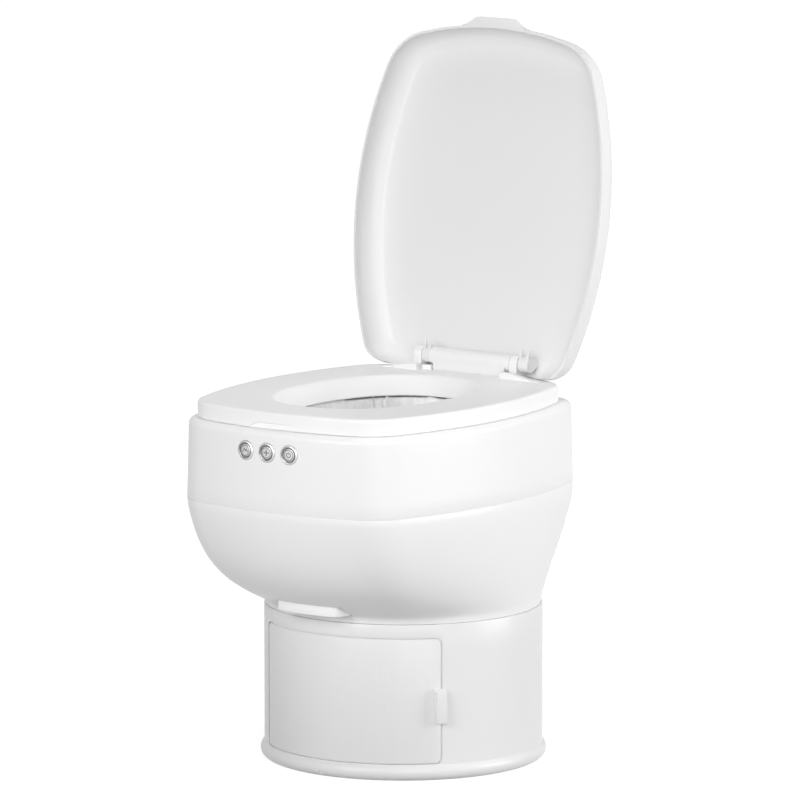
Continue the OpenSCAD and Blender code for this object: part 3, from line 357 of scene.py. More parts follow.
def rod(name, radius, start, end, sides=64):
    """A cylinder primitive between two points, in millimetres."""
    a, b = Vector(start) * MM, Vector(end) * MM
    bpy.ops.object.select_all(action="DESELECT")
    bpy.ops.mesh.primitive_cylinder_add(vertices=sides, radius=radius * MM, depth=(b - a).length)
    piece = bpy.context.object
    piece.name = name
    turn = (b - a).to_track_quat("Z", "Y").to_matrix().to_4x4()
    move_mesh(piece, Matrix.Translation((a + b) / 2) @ turn)
    return piece


def lathe(name, profile, steps=96, start=0.0):
    """Spins a closed profile of (radius, height) about the Z axis."""
    mesh = bpy.data.meshes.new(name)
    points = [(r * math.cos(start) * MM, r * math.sin(start) * MM, z * MM) for r, z in profile]
    mesh.from_pydata(points, [(i, (i + 1) % len(points)) for i in range(len(points))], [])
    piece = bpy.data.objects.new(name, mesh)
    bpy.context.scene.collection.objects.link(piece)
    edit(piece)
    bpy.ops.mesh.select_all(action="SELECT")
    bpy.ops.mesh.spin(steps=steps, angle=TURN, center=(0, 0, 0), axis=(0, 0, 1))
    leave()
    outward(piece)
    return piece


def prism(name, outline, low, high, axis="X"):
    """A flat outline of points, extruded from low to high along an axis, in millimetres."""
    at = "XYZ".index(axis)
    def order(p, h):
        return (*p[:at], h, *p[at:])
    mesh = bpy.data.meshes.new(name)
    mesh.from_pydata([Vector(order(p, low)) * MM for p in outline], [], [list(range(len(outline)))])
    piece = bpy.data.objects.new(name, mesh)
    bpy.context.scene.collection.objects.link(piece)
    edit(piece)
    bpy.ops.mesh.select_all(action="SELECT")
    bpy.ops.mesh.extrude_region_move(TRANSFORM_OT_translate={"value": Vector(order((0, 0), high - low)) * MM})
    leave()
    outward(piece)
    return piece


def loft(name, rings, closed=False, ends=(0, -1)):
    """A skin over rings of points in millimetres: closed on itself, or closed by a fan at its end rings."""
    n, m = len(rings[0]), len(rings)
    points = [p for ring in rings for p in ring]
    faces = []
    for i in range(m if closed else m - 1):
        a, b = i * n, ((i + 1) % m) * n
        faces += [(a + j, b + j, b + (j + 1) % n, a + (j + 1) % n) for j in range(n)]
    if not closed:
        for ring in ends:
            points.append([sum(p[k] for p in rings[ring]) / n for k in range(3)])
            centre, a, flip = len(points) - 1, ring % m * n, ring < 0
            for j in range(n):
                face = (centre, a + j, a + (j + 1) % n)
                faces.append(face[::-1] if flip else face)
    mesh = bpy.data.meshes.new(name)
    mesh.from_pydata([Vector(p) * MM for p in points], [], faces)
    piece = bpy.data.objects.new(name, mesh)
    bpy.context.scene.collection.objects.link(piece)
    outward(piece)
    return piece


def finish(piece, body, slot, node, angle=32.0, finish_name=None):
    """Smooths a finished piece, dresses it, hangs it on its body and hides the CAD node that it stands in for."""
    pick(piece)
    bpy.ops.object.shade_smooth_by_angle(angle=math.radians(angle))
    piece.data.materials.clear()
    piece.data.materials.append(FINISHES[finish_name or slot])
    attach(piece, body)
    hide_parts(node)


# Curves of the body, the seat and the lid

def arc(cx, cy, r, a, b, n):
    return [(cx + r * math.cos(a + (b - a) * i / n), cy + r * math.sin(a + (b - a) * i / n)) for i in range(n)]


def corner_centre(w, rs, l, re, rc):
    """Centre of the corner arc that runs smoothly into a side arc and an end arc."""
    s, e = Vector((w - rs, 0)), Vector((0, l - re))
    d, d1, d2 = (e - s).length, rs - rc, re - rc
    t = (d1 * d1 - d2 * d2 + d * d) / (2 * d)
    h, u = math.sqrt(d1 * d1 - t * t), (e - s) / d
    side = Vector((-u.y, u.x))
    return max((s + u * t + side * h, s + u * t - side * h), key=lambda p: p.x + p.y)


def quarter(w, rs, l, re, rc):
    """A quarter of an outline: side arc, corner arc and end arc."""
    c = corner_centre(w, rs, l, re, rc)
    a1, a2 = math.atan2(c.y, c.x - w + rs), math.atan2(c.y - l + re, c.x)
    side_n, corner_n, end_n = QUARTER
    return (arc(w - rs, 0, rs, 0, a1, side_n) + arc(c.x, c.y, rc, a1, a2, corner_n)
            + arc(0, l - re, re, a2, math.pi / 2, end_n))


def outline(rear, front, rear_l, front_l):
    """A whole outline, mirrored from its rear and front quarters."""
    half = rear + [(0, rear_l)] + [(-x, y) for x, y in rear[::-1]]
    half += [(-x, -y) for x, y in front[1:]] + [(0, -front_l)] + [(x, -y) for x, y in front[:0:-1]]
    return [(x, y - WIDE_Y) for x, y in half]


FRONT_L = BODY_FRONT - WIDE_Y


def front_quarter(o):
    return quarter(BODY_W / 2 + o, SIDE_R + o, FRONT_L + o, FRONT_R + o, FRONT_C + o)


def body_ring(o):
    """The body's outline in plan, grown by o."""
    l = BODY_BACK + WIDE_Y + o
    rear = quarter(BODY_W / 2 + o, SIDE_R + o, l, BACK_R + o, BACK_C + o)
    return outline(rear, front_quarter(o), l, FRONT_L + o)


def seat_ring(o):
    l, i = SEAT_BACK + WIDE_Y + o, o - SEAT_REVEAL
    rear = quarter(BODY_W / 2 + i, SIDE_R + i, l, SEAT_BACK_R + o, SEAT_BACK_C + o)
    return outline(rear, front_quarter(i), l, FRONT_L + i)


def lid_ring(o):
    return body_ring(o - SEAT_REVEAL + LID_OVER)


def lift(ring, z):
    return [(x, y, z) for x, y in ring]


def mix(a, b, t):
    return [tuple(p * (1 - t) + q * t for p, q in zip(u, v)) for u, v in zip(a, b)]


BODY_ANGLES = [math.atan2(y + WIDE_Y, x) for x, y in body_ring(0)]
LIP_ANGLES = [math.atan2(y + LIP_Y, x) for x, y in body_ring(0)]


def round_ring(r, y, z):
    return [(r * math.cos(a), r * math.sin(a) - y, z) for a in BODY_ANGLES]


def oval_ring(o, z):
    """The seat's opening, grown by o, at height z."""
    w, l = LIP_W / 2 + o, LIP_L / 2 + o
    ring = []
    for a in LIP_ANGLES:
        r = (abs(math.cos(a) / w) ** OVAL_N + abs(math.sin(a) / l) ** OVAL_N) ** (-1 / OVAL_N)
        ring.append((r * math.cos(a), r * math.sin(a) - LIP_Y, z))
    return ring


def smooth_path(points, steps=4):
    """Points on a smooth curve through the given ones."""
    path = []
    for i in range(len(points) - 1):
        p0, p1, p2, p3 = (points[min(max(k, 0), len(points) - 1)] for k in (i - 1, i, i + 1, i + 2))
        for s in range(steps):
            t = s / steps
            path.append(tuple(0.5 * (2 * b + (c - a) * t + (2 * a - 5 * b + 4 * c - d) * t * t
                                     + (3 * b - a - 3 * c + d) * t ** 3)
                              for a, b, c, d in zip(p0, p1, p2, p3)))
    return path + [tuple(points[-1])]


# Pedestal

def door_distance(p, grow=0.0):
    """Distance of a point from the door opening's edge, seen from the door's front."""
    x = p.x * math.cos(DOOR_TURN) + p.y * math.sin(DOOR_TURN)
    half_w, half_h = DOOR_W / 2 + grow, (DOOR_HIGH - DOOR_LOW) / 2 + grow
    corner = DOOR_CORNER + grow
    qx, qz = abs(x) - half_w + corner, abs(p.z - (DOOR_LOW + DOOR_HIGH) / 2) - half_h + corner
    return math.hypot(max(qx, 0), max(qz, 0)) + min(max(qx, qz), 0) - corner


def on_door_edge(grow):
    """True for the edges that run along the cut, on the wall's outer and inner face."""
    def test(a, b):
        for r in (PEDESTAL_R, PEDESTAL_R - PEDESTAL_WALL):
            if all(abs(math.hypot(p.x, p.y) - r) < 0.06 and abs(door_distance(p, grow)) < 0.05 for p in (a, b)):
                return True
        return False
    return test


def door_cutter(grow):
    """The door opening as a long block with rounded corners."""
    half_w = DOOR_W / 2 + grow
    piece = block("door_cutter", (-half_w, -PEDESTAL_R - 20, DOOR_LOW - grow),
                  (half_w, -PEDESTAL_R * 0.55, DOOR_HIGH + grow))
    edit(piece)
    select_where(piece, "EDGE", lambda a, b: abs(a.y - b.y) > 1)
    bpy.ops.mesh.bevel(offset=(DOOR_CORNER + grow) * MM, segments=7, affect="EDGES")
    leave()
    move_mesh(piece, Matrix.Rotation(DOOR_TURN, 4, "Z"))
    return piece


def make_pedestal():
    bead_x = PEDESTAL_R + BEAD_OUT - BEAD_R
    low = -math.asin(BEAD_Z / BEAD_R)
    high = math.acos((PEDESTAL_R - bead_x) / BEAD_R)
    turns = [low + (high - low) * i / 16 for i in range(17)]
    bead = [(bead_x + BEAD_R * math.cos(a), BEAD_Z + BEAD_R * math.sin(a)) for a in turns]
    outer, inner, top, foot = PEDESTAL_R, PEDESTAL_R - PEDESTAL_WALL, PEDESTAL_H, BASE_T + FOOT_T
    profile = bead + [(outer, 60), (outer, 110), (outer, 160), (outer, top - 0.8), (outer - 0.25, top - 0.25),
                      (outer - 0.8, top), (DROP_R + 0.6, top), (DROP_R, top - 0.6), (DROP_R, top - FLANGE),
                      (inner, top - FLANGE), (inner, foot), (FOOT_IN_R, foot), (FOOT_IN_R, BASE_T), (inner, BASE_T),
                      (inner, 0)]
    wall = lathe("pedestal_wall", profile, 144, DOOR_TURN)
    combine(wall, door_cutter(0.0))
    soften(wall, 0.5, 3, chosen=on_door_edge(0.0))
    ends = [(r * math.cos(MARK_TURN), r * math.sin(MARK_TURN), MARK_Z) for r in (176, 185)]
    combine(wall, rod("foot_mark", MARK_R, *ends, 24))
    finish(wall, "base", "pedestal_white", "pedestal_shell")


def door_band(name, outer, inner):
    """A band of the pedestal's wall, tall enough to cut the door or its lip from."""
    return lathe(name, [(outer, 10), (outer, 190), (inner, 190), (inner, 10)], 144, DOOR_TURN)


def make_door():
    """The door's skin, with a lip behind its gap on every side but the hinge's."""
    door = door_band("door_skin", PEDESTAL_R, PEDESTAL_R - PEDESTAL_WALL)
    combine(door, door_cutter(-DOOR_GAP), "INTERSECT")
    soften(door, 0.5, 3, chosen=on_door_edge(-DOOR_GAP))
    lip = door_band("door_lip", DOOR_LIP_R, DOOR_LIP_IN_R)
    combine(lip, door_cutter(-DOOR_LIP_GAP), "INTERSECT")
    hinge_side = block("hinge_side", (-200, -200, 0), (-112, 0, 200))
    move_mesh(hinge_side, Matrix.Rotation(DOOR_TURN, 4, "Z"))
    combine(lip, hinge_side)
    combine(door, lip, "UNION")
    finish(door, "door", "pedestal_white", "door_panel")


def make_pull():
    """A bar over the door's right edge: its left side leans, its top slopes, its right side is undercut."""
    left, out, root = -PULL_W / 2, PEDESTAL_R + PULL_OUT, PEDESTAL_R + 0.05
    right, door_edge, clear = left + PULL_LEAN + PULL_W, 2.1, root + 0.65
    def at(x, r):
        return (x, -math.sqrt(r * r - x * x))
    section = [at(left, root), at(door_edge, root), at(door_edge, clear), at(right, clear), at(right, root + 2),
               at(right, out), at((left + right + PULL_LEAN) / 2, out), at(left + PULL_LEAN, out),
               at(left + 0.5, root + 2)]
    pull = prism("door_handle", section, PULL_LOW, PULL_LOW + PULL_H, "Z")
    edit(pull)
    select_where(pull, "VERT", lambda v: v.z > PULL_LOW + 1 and math.hypot(v.x, v.y) > PEDESTAL_R + 5)
    bpy.ops.transform.translate(value=(0, 0, -4.7 * MM))
    leave()
    soften(pull, 0.8, 3, 25)
    move_mesh(pull, Matrix.Rotation(DOOR_TURN + PULL_TURN, 4, "Z"))
    finish(pull, "door", "pedestal_white", "door_pull")


# Body shells

def grow_front(t):
    """How far the belly's front has grown from the neck's circle to the body's outline, at t of its height."""
    u = (t - 0.06) / 0.94
    b = 1 - 0.62 * (1 - u) ** 4.2 - 0.38 * max(1 - u, 0) ** 1.3
    return min(1.0, (b + math.sqrt(b * b + 4 * 0.045 ** 2)) / 2)


def grow_back(t):
    return 1 - 0.955 * (1 - min(t / 0.92, 1)) ** 1.25


def belly_ring(z, o):
    """Section of the lower shell at height z, drawn in by o: a circle at the neck, the body's outline at the seam."""
    t = (z - NECK_Z) / (SPLIT_Z - NECK_Z)
    front, back = grow_front(t), grow_back(t)
    ring = []
    for (x, y), a in zip(body_ring(-o), BODY_ANGLES):
        g = (1 - math.sin(a)) / 2
        w = g * front + (1 - g) * back
        cx, cy = (NECK_R - o) * math.cos(a), (NECK_R - o) * math.sin(a)
        ring.append((cx + (x - cx) * w, cy + (y - cy) * w, z))
    return ring


def on_front(x):
    """Matrix that puts something, made about +Z, on the front wall at x, with +Z pointing out of the wall."""
    r = FRONT_R - DRAFT * (BUTTON_Z - SPLIT_Z) / (SHOULDER_Z - SPLIT_Z)
    centre = Vector((0, FRONT_R - BODY_FRONT, BUTTON_Z)) * MM
    return (Matrix.Translation(centre) @ Matrix.Rotation(math.asin(x / r), 4, "Z")
            @ Matrix.Translation(Vector((0, -r, 0)) * MM) @ Matrix.Rotation(math.radians(90), 4, "X"))


def make_belly():
    """The lower shell, from the neck to the parting line, with a tongue inside and the release tab's slot."""
    top, high = SPLIT_Z - SEAM / 2, SPLIT_Z + SEAM / 2
    steps = [0.0, 0.01, 0.02, 0.032, 0.045, 0.058, 0.07, 0.087, 0.105, 0.125, 0.145, 0.167, 0.19, 0.22, 0.25, 0.287,
             0.325, 0.37, 0.42, 0.48, 0.54, 0.62, 0.7, 0.78, 0.86, 0.93]
    heights = [NECK_Z + t * (SPLIT_Z - NECK_Z) for t in steps]
    edge = [(0, top - 0.3), (0.09, top - 0.09), (0.3, top), (0.8, top), (0.8, high - 0.12)]
    tongue = [(BODY_WALL + o, z) for o, z in ((0.3, high - 0.12), (0.3, top + 7), (2.3, top + 7), (2.3, top - 4))]
    outer = [belly_ring(z, 0) for z in heights] + [lift(body_ring(-o), z) for o, z in edge + tongue]
    floor_top = FLOOR_Z + FLOOR_T
    inner = [belly_ring(z, BODY_WALL) for z in heights[::-2] if z > floor_top + 2]
    bottom = [belly_ring(floor_top, BODY_WALL), round_ring(FLOOR_R, 0, floor_top), round_ring(FLOOR_R, 0, FLOOR_Z),
              belly_ring(FLOOR_Z, BODY_WALL), belly_ring(NECK_Z, BODY_WALL)]
    belly = loft("belly_shell", outer + inner + bottom, True)
    near, far, half = RELEASE_IN_R - 10, RELEASE_R + 20, RELEASE_W / 2 + RELEASE_GAP
    low, up = RELEASE_Z - RELEASE_GAP, RELEASE_Z + RELEASE_H + RELEASE_GAP
    slot_cut = lathe("slot_cut", [(near, low), (far, low), (far, up), (near, up)], 160)
    window = block("slot_window", (-half, -far - 20, 190), (half, -100, 240))
    combine(belly, combine(slot_cut, window, "INTERSECT"))
    finish(belly, "bowl", "body_white", "lower_housing")


def make_rim():
    """The upper shell, from the parting line to the rim, with its holes for the buttons and the power socket."""
    high = SPLIT_Z + SEAM / 2
    low = high + 0.3
    side = [(0.3, high), (0.09, high + 0.09), (0, low)]
    side += [(DRAFT * t, low + (SHOULDER_Z - low) * t) for t in (0.2, 0.4, 0.6, 0.8, 1.0)]
    side += [(DRAFT + SHOULDER * (1 - math.cos(a)), SHOULDER_Z + SHOULDER * math.sin(a))
             for a in (math.radians(9 * i) for i in range(1, 11))]
    side += [(RIM_IN, RIM_Z), (RIM_IN, LEDGE_Z), (LEDGE_IN, LEDGE_Z), (LEDGE_IN, LEDGE_Z - 3.5),
             (DRAFT + SHOULDER, LEDGE_Z - 3.5), (DRAFT + BODY_WALL, LEDGE_Z - 9), (BODY_WALL, high)]
    shell = loft("rim_shell", [lift(body_ring(-o), z) for o, z in side], True)
    for i in (-1, 0, 1):
        for radius, deep in ((RING_R + 0.2, -1.0), (RING_R - 1.75, -14.0)):
            hole = rod("button_hole", radius, (0, 0, deep), (0, 0, 4), 72)
            move_mesh(hole, on_front(i * BUTTON_STEP))
            combine(shell, hole)
    rear = BODY_BACK - DRAFT * (SOCKET_Z - SPLIT_Z) / (SHOULDER_Z - SPLIT_Z)
    combine(shell, rod("socket_pocket", SOCKET_R, (0, rear - 1, SOCKET_Z), (0, rear + 4, SOCKET_Z)))
    combine(shell, rod("socket_hole", 11.05, (0, rear - 14, SOCKET_Z), (0, rear + 4, SOCKET_Z)))
    finish(shell, "bowl", "body_white", "upper_housing")


def make_release_tab():
    """A milky tab that follows the neck's curve, its right end rounded off towards the belly."""
    half, r, nose = RELEASE_W / 2, RELEASE_R, 13
    bearings = [math.asin((-half + (2 * half - nose) * i / 24) / r) for i in range(25)]
    front = [(r * math.sin(a), -r * math.cos(a)) for a in bearings]
    turns = [math.radians(11.25 * i) for i in range(1, 9)]
    end = [(half - nose + nose * math.sin(t), front[-1][1] + 24 * (1 - math.cos(t))) for t in turns]
    back = [(x, -math.sqrt(RELEASE_IN_R ** 2 - x * x)) for x in (half - 2 * half * i / 24 for i in range(25))]
    tab = prism("pull_tab", front + end + back, RELEASE_Z, RELEASE_Z + RELEASE_H, "Z")
    soften(tab, 0.9, 3, 40)
    window = block("tab_window", (-half - 1, -r - 20, RELEASE_Z - 1), (half + 1, -110, RELEASE_Z + RELEASE_H))
    edit(window)
    select_where(window, "EDGE", lambda a, b: abs(a.y - b.y) > 1 and a.x > 0 and a.z < RELEASE_Z)
    bpy.ops.mesh.bevel(offset=6.5 * MM, segments=8, affect="EDGES")
    leave()
    combine(tab, window, "INTERSECT")
    finish(tab, "tab", "tab_clear", "release_tab")


# Push buttons

def copy_of(piece, name):
    twin = piece.copy()
    twin.data, twin.name = piece.data.copy(), name
    bpy.context.scene.collection.objects.link(twin)
    return twin


def tint(piece, faces, name):
    """Gives the listed faces a second finish: here the darker nickel that paints shade into the buttons' grooves and
    signs.
    """
    piece.data.materials.append(FINISHES[name])
    for i in faces:
        piece.data.polygons[i].material_index = 1


def make_buttons():
    """Three bezels with painted shade on the step round a bright rim and in the gap to the cap, and domed caps with a
    sign sunk in each, its grooves painted dark: painted shade that also stands for the sign's print.
    """
    o, r, t, c = RING_OUT, RING_R, CAP_OUT, CAP_R
    profile = [(r - 0.1, -0.9), (r, -0.4), (r, o - 1.2), (r - 0.9, o - 0.5), (r - 1.4, o - 0.1), (r - 1.8, o),
               (r - 2.2, o - 0.1), (r - 2.5, o - 1.2), (r - 3.0, o - 1.2), (r - 3.2, o - 0.3), (c + 0.75, o - 0.45),
               (c + 0.6, o - 1.5), (c + 0.3, -9), (3.3, -9), (3.3, -16), (r - 1.8, -16), (r - 1.8, -1)]
    cap_profile = [(0.001, -6), (c, -6), (c, t - 0.6), (c - 0.3, t - 0.2), (c - 0.7, t), (c - 1.2, t),
                   (c - 1.45, t - 0.5), (c - 1.95, t - 0.5), (c - 2.2, t - 0.1), (c * 0.45, t), (0.001, t + 0.05)]
    def reach(face):
        return Vector(face.center.xy).length / MM
    bezel = lathe("button_bezels", profile, 96)
    # Faces of the bezel's groove and of its inner gap to the cap, painted dark as shade.
    steps = [f.index for f in bezel.data.polygons
             if f.center.z > 0 and (r - 3.1 < reach(f) < r - 2.2 or reach(f) < c + 0.8)]
    count = len(bezel.data.polygons)
    rings = [bezel, copy_of(bezel, "bezel_middle"), copy_of(bezel, "bezel_right")]
    plain = lathe("push_plain", cap_profile, 72)
    combine(plain, rod("stem", 3.0, (0, 0, -18), (0, 0, -5.5), 32), "UNION")
    for name, i in (("left", -1), ("middle", 0), ("right", 1)):
        move_mesh(rings[i + 1], on_front(i * BUTTON_STEP))
        cap = copy_of(plain, "push_" + name)
        for part in button_sign(name):
            combine(cap, part)
        # Sunk faces of the sign, painted dark: painted shade in its grooves, also standing for the sign's print.
        sunk = [f.index for f in cap.data.polygons if 0 < f.center.z / MM < t - 0.12 and reach(f) < c - 1.3]
        move_mesh(cap, on_front(i * BUTTON_STEP))
        finish(cap, name + "_cap", "button_metal", "button_" + name, angle=25)
        tint(cap, sunk, "button_shade")
    bpy.data.objects.remove(plain)
    pick(*rings)
    bpy.ops.object.join()
    finish(bezel, "bowl", "button_metal", "button_rings", angle=25)
    tint(bezel, [k * count + f for k in range(3) for f in steps], "button_shade")


def stroke(points, width, deep=0.5):
    """A groove cutter: a flat band along points, standing across the cap's face."""
    parts = []
    for (ax, ay), (bx, by) in zip(points, points[1:]):
        d = Vector((bx - ax, by - ay)).normalized() * width / 2
        n = Vector((-d.y, d.x))
        corners = [(ax - d.x + n.x, ay - d.y + n.y), (ax - d.x - n.x, ay - d.y - n.y),
                   (bx + d.x - n.x, by + d.y - n.y), (bx + d.x + n.x, by + d.y + n.y)]
        parts.append(prism("groove", corners, CAP_OUT - deep, CAP_OUT + 1, "Z"))
    return parts


def button_sign(name):
    """Plain signs: peaks for the flush, a plus for the light, a ring with a gap for standby."""
    if name == "left":
        return stroke([(-3.9, -1.9), (-1.1, 2.7), (0.7, -0.5), (1.8, 1.2), (3.9, -1.9)], 1.3)
    if name == "middle":
        return stroke([(-3.2, 0), (3.2, 0)], 1.7) + stroke([(0, -3.2), (0, 3.2)], 1.7)
    turns = [math.radians(125 + 290 * i / 14) for i in range(15)]
    ring = [(2.9 * math.cos(a), 2.9 * math.sin(a)) for a in turns]
    return stroke(ring, 1.1) + stroke([(0, 0.9), (0, 3.4)], 1.0)


# Seat

def hinge_rod(name, x1, x2, r, sides=64):
    return rod(name, r, (x1, HINGE_Y, HINGE_Z), (x2, HINGE_Y, HINGE_Z), sides)


def make_seat():
    low, top, r = SEAT_Z, SEAT_TOP, SEAT_ROUND
    side = [(-2.6, RIM_Z + 0.25), (-1.0, RIM_Z + 0.3), (-0.45, low), (-0.12, low + 0.35), (0, low + 0.9),
            (0, low + 5.5), (0, low + 11)]
    side += [(-r * (1 - math.cos(a)), top - r + r * math.sin(a)) for a in (math.radians(11.25 * i) for i in range(9))]
    rings = [lift(seat_ring(o), z) for o, z in side]
    edge, brim = rings[-1], oval_ring(DISH + 1.5, top)
    rings += [mix(edge, brim, t) for t in (0.12, 0.35, 0.65, 0.88)] + [brim]
    dish = smooth_path([(DISH - 0.6, top - 0.15), (13.9, top - 1.1), (10.6, top - 4), (7.65, top - 8.2),
                        (4.6, top - 13.2), (2.3, top - 18), (0.5, low - 1.4), (0, low - 2.8), (0.4, low - 4.0),
                        (1.6, low - 4.4), (4, low - 4.0), (9, low - 2)], 3)
    rings += [oval_ring(o, z) for o, z in dish] + [oval_ring(DISH - 3, low)]
    rings += [mix(oval_ring(DISH - 3, low), rings[0], 0.5)]
    seat = loft("seat_body", rings, True)

    relief = block("rear_relief", (-200, HINGE_Y, SEAT_Z - 4), (200, HINGE_Y + 40, SEAT_Z + 8))
    combine(relief, hinge_rod("swing", -201, 201, HINGE_Z - SEAT_Z + 0.4, 256))
    combine(seat, relief)
    front = HINGE_Y - BARREL_R
    for x1, x2 in KNUCKLES:
        knuckle = hinge_rod("knuckle", x1, x2, BARREL_R, 96)
        combine(knuckle, block("knuckle_root", (x1, front, top - 5), (x2, SEAT_BACK, HINGE_Z)), "UNION")
        if x1 < 0:
            soften(knuckle, 4.5, 6, chosen=lambda a, b: max(a.x, b.x) < x1 + 0.1 and max(a.z, b.z) > SEAT_TOP)
        combine(seat, soften(knuckle, 0.35, 2, 50), "UNION")
    shelf = block("knuckle_shelf", (-80, front - 1, top - 5), (-51.9, SEAT_BACK, HINGE_Z - BARREL_R - 0.5))
    combine(seat, soften(shelf, 0.4, 2, 50), "UNION")
    for ledge in ([(-66, 8), (-80, 7.2), (-97, 4.3), (-112, 1.7), (-130, -0.4)],
                  [(62, 8.2), (81, 7.2), (99, 3.6), (112, 1.2), (127, -0.4)]):
        top_line = smooth_path([(x, top + h) for x, h in ledge], 3)
        shape = [(ledge[-1][0], top - 3), (ledge[0][0], top - 3)] + top_line
        combine(seat, soften(prism("ledge", shape, HINGE_Y - 24, HINGE_Y - 14.6, "Y"), 0.9, 3, 40), "UNION")
    saddle_gap = block("saddle_gap", (-51.5, HINGE_Y - 11, SEAT_Z - 10), (61.5, HINGE_Y + 50, SEAT_TOP + 20))
    edit(saddle_gap)
    select_where(saddle_gap, "EDGE", lambda a, b: abs(a.z - b.z) > 1 and a.y < HINGE_Y)
    bpy.ops.mesh.bevel(offset=2.0 * MM, segments=4, affect="EDGES")
    leave()
    combine(seat, saddle_gap)
    combine(seat, hinge_rod("pin_bore", -78.5, 84.5, PIN_R, 48))
    combine(seat, make_notch_cutter())
    finish(seat, "seat", "seat_white", "seat", angle=30)


def make_notch_cutter():
    """The finger notch in the front edge: a shallow step with softly rounded shoulders."""
    half = smooth_path([(-39, -2), (-37, 0.0), (-33, 2.6), (-27, 6.1), (-22, 7.3), (-17, 7.5), (-8, 7.5)], 3)
    shape = half + [(-x, z) for x, z in half[::-1]]
    y = -BODY_FRONT + SEAT_REVEAL
    rings = [[(x * (1 - 0.06 * t), y + back, SEAT_Z - 2 * t + z * (1 - t)) for x, z in shape]
             for back, t in ((-14, 0), (2.6, 0), (3.4, 0.12), (3.6, 0.5))]
    return loft("notch_cutter", rings)


# Lid

def swing(piece):
    """Turns the lid's mesh open about its hinge."""
    hinge = Vector((0, HINGE_Y, HINGE_Z)) * MM
    move_mesh(piece, Matrix.Translation(hinge) @ Matrix.Rotation(-LID_OPEN, 4, "X") @ Matrix.Translation(-hinge))


def scaled(ring, s, z):
    return [(x * s, (y + WIDE_Y) * s - WIDE_Y, z) for x, y in ring]


def make_lid():
    outer_path = smooth_path([(-0.15, 0.006), (0, 0.03), (0, 0.24), (0, 0.45), (-1.5, 0.62), (-5, 0.78), (-11, 0.9),
                              (-20, 0.97)], 4)
    inner_path = smooth_path([(-0.3, 0.0), (0, 0.02), (-0.15, 0.18), (-1, 0.35), (-5, 0.6), (-11, 0.8),
                              (-19, 0.93)], 4)
    inner_h = LID_H - LID_WALL
    crown = (0.97, 0.93, 0.85, 0.74, 0.6, 0.45, 0.3, 0.15, 0.05)
    def crown_rise(s, edge, full):
        return full - (full - edge) * max(0.0, (s - 0.85) / 0.15) ** 2 - 0.3 * s
    outer = [lift(lid_ring(o), LID_Z + LID_H * h) for o, h in outer_path]
    outer += [scaled(lid_ring(-20), s, LID_Z + crown_rise(s, 0.97 * LID_H, LID_H)) for s in crown]
    inner = [scaled(lid_ring(-19 - LID_WALL), s, LID_Z + crown_rise(s, 0.93 * inner_h, inner_h)) for s in crown[::-1]]
    inner += [lift(lid_ring(o - LID_WALL), LID_Z + inner_h * h) for o, h in inner_path[::-1]]
    lid = loft("lid_shell", inner + outer)
    y = -BODY_FRONT + SEAT_REVEAL - LID_OVER
    edge = smooth_path([(-50, y + 1.5), (-44, y + 0.2), (-36, y - 4.2), (-30, y - 8.6), (-25, y - 9.9),
                        (-15, y - 10)], 4)
    tab_shape = [(-50, y + 2.5)] + edge + [(-x, v) for x, v in edge[::-1]] + [(50, y + 2.5)]
    tab = prism("lift_tab", tab_shape, LID_Z, LID_Z + 8, "Z")
    combine(lid, soften(tab, 1.0, 3, 50), "UNION")
    combine(lid, make_seat_room())
    swing(lid)
    combine(lid, hinge_rod("barrel_room", -80.5, 80, BARREL_R + 1.5, 96))
    combine(lid, block("knuckle_room", (-80.5, HINGE_Y - BARREL_R, SEAT_Z), (80, HINGE_Y + BARREL_R, HINGE_Z)))
    add_bosses(lid)
    combine(lid, hinge_rod("lid_bore", -69, 93.5, PIN_R, 48))
    # The lid wears the seat's white darkened, as painted shade for its inside.
    finish(lid, "lid", "seat_white", "lid", angle=30, finish_name="lid_white")


def make_seat_room():
    """Room behind the hinge of the closed lid: what the open lid would push into the seat."""
    along = Vector((math.sin(LID_OPEN), -math.cos(LID_OPEN)))
    hinge, top = Vector((HINGE_Y, HINGE_Z)), 16 * along
    corner = top + (SEAT_BACK - HINGE_Y + 1) * Vector((-along.y, along.x))
    shape = [hinge + Vector(p) for p in ((0, -22), (0, top.y), top, corner, corner + 40 * along, (45, -22))]
    room = prism("seat_room", [tuple(p) for p in shape], -200, 200)
    return combine(room, hinge_rod("lid_swing", -201, 201, 16.2, 128))


def add_bosses(lid):
    """Bosses round the pin, with ribs that rise to a point against the lid's inner face."""
    r = BARREL_R - 1.1
    rib = [(-r, 0), (-8.6, 5), (-6.5, 9.5), (-4.6, 20.0), (-3.6, 20.5), (-1.5, 10), (4, 8.5), (18.4, 6.5), (17, -3),
           (0, -r)]
    for x1, x2 in BOSSES:
        boss = hinge_rod("boss", x1, x2, r, 96)
        if x2 > 0:
            soften(boss, 1.8, 4, chosen=lambda a, b: min(a.x, b.x) > x2 - 0.1)
        combine(lid, soften(boss, 0.35, 2, 50), "UNION")
        for x in (x1 + 0.5, x2 - 3.5):
            shape = [(HINGE_Y + a, HINGE_Z + b) for a, b in rib]
            combine(lid, soften(prism("rib", shape, x, x + 3), 0.4, 2, 40), "UNION")
    combine(lid, block("boss_slot", (94.2, HINGE_Y - 7.2, HINGE_Z - 5), (96, HINGE_Y - 6.2, HINGE_Z + 0.7)))


# Hinge barrel, bowl film

